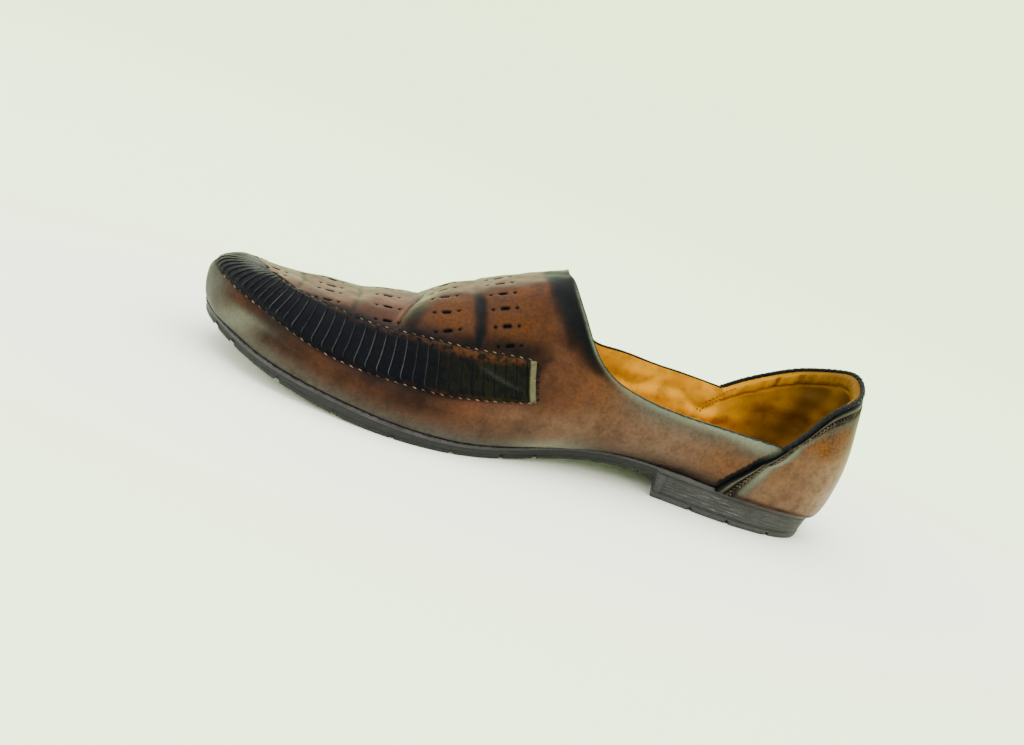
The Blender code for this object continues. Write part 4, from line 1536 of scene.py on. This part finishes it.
@dataclass
class ApronBand:
    """Black band round the toe, laid in flat pleats, stitched along both borders and closed by end strips."""

    last: Last
    pitch: float = 4.7
    toe_pitch: float = 2.5
    lift: float = 0.95
    step: float = 0.28
    end_low: float = 157.3
    end_high: float = 162.3
    strip_width: float = 2.9
    strip_lift: float = 0.30
    strip_seam: float = 0.5
    groove: float = 0.40
    groove_lean: float = 4.6
    groove_bow: float = 0.55
    groove_hook: float = 1.3
    edge_lift: float = 0.12  # how far the band's very edge stands off the vamp
    columns: int = 1700
    rows: int = 34

    def end(self, share: Array, behind: float = 0.0) -> Array:
        """Place along the feather line of the band's slanting end, at a share across it, or behind it."""
        return self.last.tau_of(self.end_low - behind + (self.end_high - self.end_low) * share)

    def per_pleat(self, place: Array) -> Array:
        """Pleats to a millimetre at a place along the band, closer round the toe."""
        plain = smooth(place, 14.0, 52.0)
        return (1.0 - plain) / self.toe_pitch + plain / self.pitch

    def build(self) -> bpy.types.Object:
        """Builds the piece.

        Returns:
            The object: pleats that rise slowly by step and drop at a fine groove; the groove lines lean and hook
            at the lower border, stand pitch apart and close up round the toe tip.
        """
        last = self.last
        across = np.linspace(0.0, 1.0, self.rows)[None, :]
        q = np.linspace(-1.0, 1.0, self.columns)[:, None] * self.end(across)
        v = last.band(q, across)
        flat, middle = last.point(q, v), self.rows // 2
        run = arc_along(flat[:, middle], 0)
        far = np.abs(run - np.interp(0.0, q[:, middle], run))[:, None]
        s, tip = flat[..., 0], np.where(q[:, :1] < 0.0, far[0], far[-1]) - far
        lean = -self.groove_lean * smooth(far, 18.0, 40.0) * fall(far, 72.0, 112.0) * (across - 0.5)
        bow = self.groove_bow * (1.0 - (2.0 * across - 1.0) ** 2) + self.groove_hook * bump(across - 0.02, 0.10)
        place = far + lean - bow
        dense = np.linspace(-6.0, 200.0, 4000)
        count = np.interp(place, dense, np.cumsum(self.per_pleat(dense)) * (dense[1] - dense[0]))
        number = np.floor(count)
        share = count - number
        before = (1.0 - share) / self.per_pleat(place)
        gap = np.minimum(share / self.per_pleat(place), before)
        border = smooth(across, 0.0, 0.07) * fall(across, 0.93, 1.0)
        strip = fall(tip, self.strip_width - 0.25, self.strip_width + 0.25)
        body = self.lift + self.step * (share - 0.5) * border - self.groove * bump(gap, 0.22) * border
        body = body + fall(far, 16.0, 44.0) * np.sin(math.pi * across) ** 0.8 + 0.06 * waves(flat, 6.0, 41)
        body = body * (1.0 - strip) + (self.lift + self.strip_lift) * strip
        body = body - self.strip_seam * bump(tip - self.strip_width - 0.3, 0.25)
        thin = (0.18 + 0.82 * np.sqrt(border)) * np.sqrt(smooth(tip, 0.0, 0.9))
        points = last.skin(q, v, self.edge_lift + (body - self.edge_lift) * thin)
        # Painted sheen: the lip of each pleat by its own share, the toe's top, the lower border, and one slanting
        # streak.
        shine = 0.45 + 0.55 * np.sin(12.9898 * number + 2.0 * np.sin(number)) ** 2
        shine = shine * smooth(across, 0.05, 0.16) * fall(across, 0.74, 0.92)
        shine = shine * smooth(far, 4.0, 30.0) * (1.0 - 0.75 * smooth(far, 98.0, 118.0))
        shine = shine * (0.48 + 0.60 * bump(s - 219.0, 6.0)) * ramp(s, (188, 0.25), (208, 0.50), (217, 1))
        toe = 0.16 * bump(share - 0.6, 0.3) * fall(far, 10.0, 26.0)
        toe = toe + 0.72 * fall(far, 8.0, 24.0) * smooth(across, 0.45, 0.85) * smooth(share, 0.05, 0.4)
        streak = bump(across - 0.37 - 0.02125 * (tip - 8.0), 0.05) * smooth(tip, 5.0, 9.0) * fall(tip, 20.0, 27.0)
        low = 0.07 * fall(across, 0.03, 0.24) * fall(far, 22.0, 50.0)
        worn = most(shine * bump(before - 0.34, 0.15), toe, low, 0.11 * streak)
        brown = np.maximum(0.34 * fall(across, 0.03, 0.13), smooth(across, 0.84 - 0.10 * bump(s - 188.0, 18.0), 0.95))
        brown = share_of(brown * (1.0 - strip) * smooth(far, 25.0, 60.0))
        values = {
            "worn": share_of(worn * fall(across, 0.955, 0.985) * (1.0 - strip)),
            "brown": brown * ramp(s, (164, 0.72), (180, 1), (200, 0.80), (214, 0.42), (240, 0.26)),
            "olive": smooth(far, 92.0, 125.0) * (1.0 - bump(gap, 0.36)),
            "strip": strip,
        }
        return build_mesh("apron_band_pleated", [Patch(points, values)], 0.0)

    def line(self, q: Array, share: Array, lift: float) -> tuple[Array, Array]:
        """Points lifted off a line at a share across the band, and the outward directions along it."""
        v = self.last.band(q, share)
        return self.last.skin(q, v, lift), self.last.normal(q, v)

    def build_stitches(self) -> bpy.types.Object:
        """Builds the pale slanting stitches along the borders.

        Returns:
            The object: on each side a row below the band from the toe tip, and one above it from past its apex.
        """
        borders = ((-0.015, 0.0, 0.0), (1.02, 0.16, 1.0))
        lines = [
            self.line(side * np.linspace(start, float(self.end(end)), 500), share, 0.35)
            for side in Side
            for share, start, end in borders
        ]
        row = Stitching(pitch=3.8, length=1.8, width=0.50, height=0.24, slant=0.25)
        return build_stitches("band_stitches", row, lines)

    def build_whips(self) -> bpy.types.Object:
        """Builds the dark whip stitches behind the end strips.

        Returns:
            The object: a row behind each end, its stitches lying across the line.
        """
        share = np.linspace(0.0, 1.0, 60)
        lines = [self.line(side * self.end(share, 0.7), share, 0.25) for side in Side]
        row = Stitching(pitch=2.5, length=1.9, width=0.85, height=0.40, slant=math.pi / 2)
        return build_stitches("band_end_stitches", row, lines)

    def dress(self, piece: bpy.types.Object) -> None:
        """Gives the piece its leather and ties it to the frame.

        Args:
            piece: what build has made.
        """
        piece.data.materials.append(BlackLeather("black_pleated_leather").make())
        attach(piece, "root")
        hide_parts("apron_band")


@dataclass
class HeelCounter:
    """Outer cup round the heel with a bound, stitched border."""

    last: Last
    gap: float = 0.35
    wall: float = 1.4
    border: float = 3.5
    bead: float = 0.22
    groove: float = 0.30
    rows: Rows = ((0.75, 0.6), (1.75, -0.6))  # the seam's rows: distance inside the border, slant
    lean: float = 0.80  # distance square to the front edge for one along the grid's rows

    def grid(self) -> tuple[Array, Array, Array]:
        """Lays out the counter.

        Returns:
            q and v of the grid, and its points on the outer face.
        """
        last = self.last
        rise = np.linspace(0.0, 1.0, 84)[None, :]
        inner, outer = (-side * (last.tau_of(last.joint(side) + last.front_edge(rise)) - 1.0) for side in Side)
        q = from_back(inner + (outer - inner) * np.linspace(0.0, 1.0, 420)[:, None])
        v = last.rim_v(q[:, -1])[:, None] * rise
        return q, v, last.skin(q, v, self.gap + self.wall)

    def runs(self, flat: Array) -> tuple[Array, Array, Array]:
        """Distances over the counter from each grid point to its inner, its outer and its top edge."""
        return self.lean * arc_along(flat, 0), self.lean * arc_back(flat, 0), arc_back(flat, 1)

    def build(self) -> bpy.types.Object:
        """Builds the piece.

        Returns:
            The object: the last's skin moved out by the gap and the wall, thinned to the border's edge, with
            the border raised and a groove inside it, and its two front edges closed.
        """
        last = self.last
        q, v, flat = self.grid()
        edge = reduce(np.minimum, self.runs(flat))
        inside = edge - self.border
        lift = self.gap + self.wall * (0.45 + 0.55 * np.sqrt(smooth(edge, -0.2, 0.9)))
        lift = lift + self.bead * bump(edge - 1.7, 1.1) - self.groove * bump(inside, 0.4) + 0.10 * waves(flat, 16.0, 31)
        lift = lift - 0.12 * bump(inside - 1.1, 0.9)
        points = last.skin(q, v, lift)
        s, height = flat[..., 0], flat[..., 2] - last.low(flat[..., 0])
        past, high = smooth(inside, 1.4, 2.6), smooth(height, 24.0, 34.0)
        warm = high * np.maximum(0.85 * bump(edge - 12.0, 6.0), 0.95 * bump(s - 25.0, 9.0))
        warm = np.maximum(warm, spots(height, edge, (0.30, 20, 10, 15, 9)))
        # Dark: the cut edge, the border but for its crest, which stays lighter as a painted highlight, its groove, a
        # line inside it, and the line above the sole.
        dark = 0.80 * fall(edge, 0.5, 1.1) + 0.55 * (1.0 - past) * (1.0 - 0.6 * bump(edge - 1.7, 0.5))
        dark = dark + 0.85 * bump(inside, 0.35) + 0.62 * bump(inside - 2.0, 1.5) + 0.5 * bump(height, 1.6)
        tan = past * ramp(s, (8, 1), (15, 0.95), (21, 0.70), (28, 0.45), (60, 0.42)) * smooth(edge, 6.0, 14.0)
        # The sheen and reflection fields below are painted highlights on the border and on the side.
        values = {
            "glow": spots(inside, height, (0.62, 4.6, 2.3, 20, 13)) + 0.24 * bump(edge - 1.9, 0.6),
            "warm": past * warm,
            "dark": share_of(dark),
            "haze": 0.60 * (1.0 - past) + 0.95 * past * bump(inside - 3.0, 4.5),
            "tan": tan * (1.0 - 0.75 * smooth(height, 24.0, 46.0)),
            "hole": NO_HOLE,
            "rim": NO_RIM,
        }
        patches = [Patch(points, values)]
        seat = last.skin(q, v, 0.05)
        for wall in (np.stack([seat[0], points[0]]), np.stack([points[-1], seat[-1]])):
            patches.append(Patch(wall, {"dark": 0.95, "hole": NO_HOLE, "rim": NO_RIM}))
        return build_mesh("heel_counter_bound", patches, WELD)

    def border_line(self, distance: float) -> tuple[Array, Array]:
        """Line that runs at a distance inside the counter's front and top edges, from sole to sole.

        Args:
            distance: how far inside the edges it runs.

        Returns:
            Its points and the outward directions along it.
        """
        q, v, flat = self.grid()
        places = np.stack([q, v], -1)
        inner, outer, top = self.runs(flat)

        rows = np.flatnonzero(top[len(top) // 2] > distance)[1:-1]
        middle = np.flatnonzero((inner[:, -1] > distance) & (outer[:, -1] > distance))
        found = [between(inner[:, row], places[:, row], distance) for row in rows]
        found += [between(top[i, ::-1], places[i, ::-1], distance) for i in middle]
        found += [between(outer[::-1, row], places[::-1, row], distance) for row in rows[::-1]]
        q, v = np.array(found).T
        return self.last.skin(q, v, self.gap + self.wall + 0.05), self.last.normal(q, v)

    def build_stitches(self) -> bpy.types.Object:
        """Builds the rope-like seam inside the border.

        Returns:
            The object: two rows that slant against each other.
        """
        patches = []
        for offset, slant in self.rows:
            row = Stitching(pitch=1.9, length=1.5, width=0.62, height=0.32, slant=slant)
            patches += row.patches(*self.border_line(self.border + offset))
        return build_mesh("counter_stitches", patches, STITCH_WELD)

    def dress(self, piece: bpy.types.Object) -> None:
        """Gives the piece its leather and ties it to the frame.

        Args:
            piece: what build has made.
        """
        piece.data.materials.append(BurnishedLeather("burnished_counter_leather", tan=(0.185, 0.108, 0.068)).make())
        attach(piece, "root")
        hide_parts("heel_counter")


@dataclass
class Piping:
    """Rolled black piping along the counter's top edge."""

    last: Last
    radius: float = 1.1
    gap: float = 0.45
    out: float = 1.25
    run_on: float = 2.6
    wring: float = 0.11
    fine_wring: float = 0.06

    def build(self) -> bpy.types.Object:
        """Builds the piece.

        Returns:
            The object: a round tube with rounded ends, its surface wrung into slanting wrinkles
            sin(1.9 run + angle), stronger and weaker along it, and finer ones the other way.
        """
        last = self.last
        ends = [side * (1.0 - last.tau_of(last.joint(side) + self.run_on)) for side in Side]
        q = from_back(np.linspace(*ends, 420))
        rim = last.rim_v(q)
        seat = last.skin(q, rim, self.out)
        up = unit(np.cross(along(seat), last.normal(q, rim)))
        up *= np.sign(up[:, 2:])
        centre = seat + (self.radius + self.gap) * up
        run = arc_along(centre, 0)[:, None]
        angle = np.linspace(0.0, TURN, 25)[None, :-1]
        wring = self.wring * np.sin(run * 1.9 + angle) * (0.6 + 0.4 * np.sin(run * 0.31))
        wring = wring + self.fine_wring * np.sin(run * 3.7 - angle)
        round_off = np.sqrt(share_of(np.minimum(run, run[-1] - run) / 1.2))
        size = self.radius * (1.0 + wring) * (0.15 + 0.85 * round_off)
        points = tube(centre, up, np.stack([size * np.cos(angle), size * np.sin(angle)], -1))
        # Painted highlight along the tube's top.
        values = {"worn": 0.02 + 0.10 * bump(points[..., 2] - centre[:, None, 2] - 0.8, 0.5)}
        return build_mesh("counter_piping_rolled", [Patch(points, values, flip=True)], WELD)

    def dress(self, piece: bpy.types.Object) -> None:
        """Gives the piece its leather and ties it to the frame.

        Args:
            piece: what build has made.
        """
        piece.data.materials.append(BlackLeather("black_piping_leather").make())
        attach(piece, "root")
        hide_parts("counter_piping")


@dataclass
class Sole:
    """Moulded sole: flat top, layered and ribbed side, heel block and notched bottom."""

    last: Last
    ball: tuple[float, float] = (182.0, 214.0)
    breast: float = 89.5
    breast_run: float = 2.6
    breast_hollow: float = 7.0
    breast_fade: float = 24.0
    # Height of the rim, height of the bottom layer, and inset of the panel between them.
    heel_side: tuple[float, float, float] = (2.4, 2.6, 0.7)
    fore_side: tuple[float, float, float] = (1.3, 1.5, 0.35)
    panel_rows: int = 22
    ribs: float = 6.0
    rib_depth: float = 0.34
    notch_half: tuple[float, float] = (1.25, 0.55)
    notch_height: float = 1.7
    tread_pitch: float = 6.0
    tread_depth: float = 0.9
    fit_gap: float = 0.35

    def stations(self) -> Array:
        """Distances of the sole's cross sections.

        Returns:
            Them from toe to heel, dense at the notches and the breast.
        """
        wide, narrow = self.notch_half
        half = np.array([0.0, narrow, 0.5 * (wide + narrow), wide])
        notches = (np.array(NOTCHES)[:, None] + np.concatenate([-half, half])).reshape(-1)
        regular = self.last.s_of(np.linspace(0.0, 1.0, 560))
        breast = self.breast + np.linspace(0.0, self.breast_run, 8)
        return np.unique(np.round(np.concatenate([regular, notches, breast, self.ball]), 4))[::-1]

    def build(self) -> bpy.types.Object:
        """Builds the piece.

        Returns:
            The object: side walls as a stack of rows (rim, groove, ribbed panel, groove, bottom layer), a flat
            top and a bottom with a tread of waves.
        """
        last = self.last
        s = self.stations()
        tau, top = last.tau_of(s), last.low(s) - self.fit_gap
        low_line, out_top, out_bottom = (curve(s) for curve in splines(SOLE))
        heel = fall(s, self.breast, self.breast + self.breast_run)
        flat = (s > self.ball[0]) & (s < self.ball[1])
        bottom = np.where(flat, 0.0, np.maximum(low_line, 0.0)) * (1.0 - heel)
        rim, layer, inset = (fore * (1.0 - heel) + back * heel for back, fore in zip(self.heel_side, self.fore_side))
        cut = most(*(fall(np.abs(s - notch), self.notch_half[1], self.notch_half[0]) for notch in NOTCHES))
        back = self.breast - s
        frame = smooth(back, 0.2, 0.8) * fall(back, 3.0, 3.8)
        # Rows of the side from the top down: height, share of the panel's inset.
        rows = [(top, 0.35), (top - 0.3, 0.0), (top - rim + 0.15, 0.0), (top - rim - 0.25, 1.0)]
        high, low = top - rim - 0.4, bottom + layer + 0.4
        for share in np.linspace(0.0, 1.0, self.panel_rows):
            wave = self.rib_depth * np.sin(TURN * self.ribs * share + 0.5 * np.sin(s * 0.21)) * heel
            rows.append((high + (low - high) * share, (1.0 - wave / np.maximum(inset, 0.1)) * (1.0 - frame)))
        lowest = bottom + cut * self.notch_height
        rows += [(bottom + layer, 0.2), (bottom + layer - 0.3, 0.0), (lowest + 0.35, 0.0), (lowest, 0.5)]
        height = np.stack([row[0] for row in rows], 1)
        share = np.stack([np.broadcast_to(row[1], s.shape) for row in rows], 1)
        reach = (top[:, None] - height) / (top - bottom)[:, None]
        out = out_top[:, None] + (out_bottom - out_top)[:, None] * reach - inset[:, None] * share
        dark, scuff = np.zeros(height.shape), np.zeros(height.shape)
        # Painted shade in the grooves above and below the panel.
        dark[:, 3:5], dark[:, -5:-3] = 0.8, 0.7
        dark[:, 4:-1] += 0.72 * (1.0 - heel)[:, None]
        # Painted shade at the step behind the breast's frame.
        dark[:, 4:-4] += (0.45 * bump(back - 3.6, 0.6) * smooth(back, 0.0, 1.0))[:, None]
        scuff[:, 6:-6] = (0.12 + 0.44 * heel * bump(s - 58.0, 22.0))[:, None]
        patches, walls = [], []
        for side in Side:
            plan = np.stack([last.edge_plan(side, tau, out[:, i]) for i in range(len(rows))], 1)
            walls.append(np.concatenate([plan, height[..., None]], -1))
            patches.append(Patch(walls[-1], {"dark": dark, "scuff": scuff}, flip=side < 0))
        across = np.linspace(0.0, 1.0, 41)
        floor = walls[0][:, None, -1] * (1.0 - across)[:, None] + walls[1][:, None, -1] * across[:, None]
        fade = share_of(1.0 - np.abs(s - self.breast) / self.breast_fade)[:, None]
        floor[..., 0] -= self.breast_hollow * fade * (1.0 - (2.0 * across - 1.0) ** 2)
        inside = smooth(across, 0.0, 0.12) * fall(across, 0.88, 1.0)
        tread = 0.5 + 0.5 * np.sin(TURN * (floor[..., 0] / self.tread_pitch + 3.0 * np.abs(across - 0.5)))
        floor[..., 2] += self.tread_depth * inside * smooth(tread, 0.35, 0.65)
        # Darker in the tread's hollows.
        patches.append(Patch(floor, {"dark": 0.5 * inside * tread}, flip=True))
        # The top face, under the upper, is painted dark as shade.
        patches.append(Patch(np.stack([wall[:, 0] for wall in walls], 1), {"dark": 0.9}))
        return build_mesh("sole_moulded", patches, WELD)

    def dress(self, piece: bpy.types.Object) -> None:
        """Gives the piece its rubber and ties it to the frame.

        Args:
            piece: what build has made.
        """
        piece.data.materials.append(SoleRubber().make())
        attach(piece, "root")
        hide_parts("outsole")


@dataclass
class Studio:
    """Pale floor that curves up round the shoe, two soft lamps, pale air and the camera; lengths in metres."""

    azimuth: float = -11.63
    elevation: float = 15.72
    roll: float = 21.38
    distance: float = 0.5
    lens: float = 39.11
    sensor: float = 36.0
    target: tuple[float, float, float] = (-0.01145, 0.0, 0.02743)
    floor_colour: Colour = (0.82, 0.97, 0.62)
    # Painted shade: the floor is greyer and a little darker near the shoe.
    floor_shade_colour: Colour = (0.86, 0.84, 0.80)
    floor_shade_half: tuple[float, float] = (0.17, 0.075)  # half sizes of the floor's near patch
    flat_radius: float = 1.2
    curve_radius: float = 0.8
    # Lamps: name, its two sizes, power, place.
    lamps: tuple = (
        ("top_softbox", (2.4, 2.0), 56.0, (0.0, 0.1, 1.7)),
        ("front_softbox", (0.7, 0.5), 14.0, (-1.2, -0.9, 0.7)),
    )
    lamp_target: tuple[float, float, float] = (0.0, 0.0, 0.03)
    air_colour: Colour = (0.98, 1.0, 0.92)
    # The air's strength: from a low to a high share of the way up.
    air_height: tuple[float, float] = (0.10, 0.60)
    air_strength: tuple[float, float] = (3.3, 2.6)

    def build_floor(self) -> None:
        """Makes the floor: flat, then a quarter round up to a wall, its paint greener away from the shoe, greyer and a
        little darker near it as painted shade.
        """
        turn = np.linspace(0.0, math.pi / 2, 24)[1:]
        flat, curve = self.flat_radius, self.curve_radius
        radius = np.concatenate([[0.001, 0.2, 0.6, flat], flat + curve * np.sin(turn), [flat + curve] * 2])
        height = np.concatenate([[0.0] * 4, curve - curve * np.cos(turn), [curve + 0.02, curve + 0.04]])
        angle = np.linspace(0.0, TURN, 97)[:, None]
        x, y = radius * np.cos(angle), radius * np.sin(angle)
        points = np.stack([ORIGIN_S - x / MM, y / MM, np.broadcast_to(height / MM, x.shape)], -1)
        floor = build_mesh("studio_floor", [Patch(points, {})], STITCH_WELD)
        g = Graph("studio_floor_paint")
        parts = g.node("ShaderNodeSeparateXYZ", Vector=g.place)
        x, y = (g.math("DIVIDE", parts.outputs[i], half) for i, half in enumerate(self.floor_shade_half))
        away = g.math("SQRT", g.plus(g.times(x, x), g.times(y, y)))
        g.feed(g.shader.inputs["Base Color"], g.coats(self.floor_shade_colour, (self.floor_colour, g.span(away, 0.8, 2.6))))
        g.feed(g.shader.inputs["Roughness"], 0.9)
        floor.data.materials.append(g.material)
        floor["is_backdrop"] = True

    def build_lights(self) -> None:
        """Makes a large overhead softbox, a small one from the front left, and air that is brighter low down."""
        for name, size, power, place in self.lamps:
            light = bpy.data.lights.new(name, "AREA")
            light.shape, light.size, light.size_y, light.energy = "RECTANGLE", *size, power
            back = unit(np.array(place) - np.array(self.lamp_target))
            placed(name, light).matrix_world = look_matrix(np.array(place), back, 0.0)
        world = bpy.data.worlds.new("studio_air")
        bpy.context.scene.world = world
        world.use_nodes = True
        nodes, link = world.node_tree.nodes, world.node_tree.links.new
        air, way = nodes["Background"], nodes.new("ShaderNodeTexCoord")
        parts, change = nodes.new("ShaderNodeSeparateXYZ"), nodes.new("ShaderNodeMapRange")
        air.inputs[0].default_value = (*self.air_colour, 1.0)
        for name, value in zip(("From Min", "From Max", "To Min", "To Max"), self.air_height + self.air_strength):
            change.inputs[name].default_value = value
        link(way.outputs["Generated"], parts.inputs[0])
        link(parts.outputs["Z"], change.inputs["Value"])
        link(change.outputs[0], air.inputs[1])

    def build_camera(self) -> None:
        """Makes the camera, rolled about its own axis."""
        a, e = math.radians(self.azimuth), math.radians(self.elevation)
        back = np.array([math.sin(a) * math.cos(e), -math.cos(a) * math.cos(e), math.sin(e)])
        data = bpy.data.cameras.new("camera")
        data.lens, data.sensor_width, data.clip_start = self.lens, self.sensor, 0.01
        camera = placed("camera", data)
        camera.matrix_world = look_matrix(np.array(self.target) + back * self.distance, back, math.radians(self.roll))
        bpy.context.scene.camera = camera


def look_matrix(place: Array, back: Array, roll: float) -> Matrix:
    """Placement of a camera or lamp.

    Args:
        place: where it stands.
        back: unit direction from what it looks at towards it.
        roll: turn about that direction.

    Returns:
        The matrix whose columns are right, up, back and place.
    """
    right = unit(np.cross(np.array([0.0, 0.0, 1.0]), back))
    up = np.cross(back, right)
    c, s = math.cos(roll), math.sin(roll)
    matrix = np.eye(4)
    matrix[:3] = np.stack([c * right + s * up, c * up - s * right, back, place], -1)
    return Matrix(matrix.tolist())


def plain(bounds: Sequence[Sequence[float]]) -> list[list[float]]:
    """A box as plain lists of numbers."""
    return [[float(number) for number in corner] for corner in bounds]


def main() -> None:
    """Builds and dresses the shoe over its frame, then sets up the studio."""
    logging.basicConfig(level=logging.INFO, format="%(name)s: %(message)s")
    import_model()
    cad_box = plain(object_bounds())
    last = Last()
    lining, band, counter = Lining(last), ApronBand(last), HeelCounter(last)
    for part in (Vamp(last), lining, Sock(last), band, counter, Piping(last), Sole(last)):
        piece = part.build()
        part.dress(piece)
        LOG.info("%s: %d faces", piece.name, len(piece.data.polygons))
    pale, dark = Thread("pale_thread"), Thread("dark_thread", (0.009, 0.006, 0.005), (0.003, 0.002, 0.002))
    brown = Thread("brown_thread", (0.078, 0.050, 0.031), (0.014, 0.010, 0.008))
    mustard = Thread("mustard_thread", (0.20, 0.075, 0.004), (0.09, 0.03, 0.002))
    for piece, thread, slot in (
        (band.build_stitches(), pale, Slot.PLEATS),
        (band.build_whips(), dark, Slot.PLEATS),
        (lining.build_seam(), mustard, Slot.LINING),
        (counter.build_stitches(), brown, Slot.VAMP),
    ):
        piece.data.materials.append(thread.make())
        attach(piece, "root")
        LOG.info("%s: %d faces", piece.name, len(piece.data.polygons))
    studio = Studio()
    studio.build_floor()
    studio.build_lights()
    studio.build_camera()
    {"cad": cad_box, "visual": plain(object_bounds())}


if __name__ == "__main__":
    main()
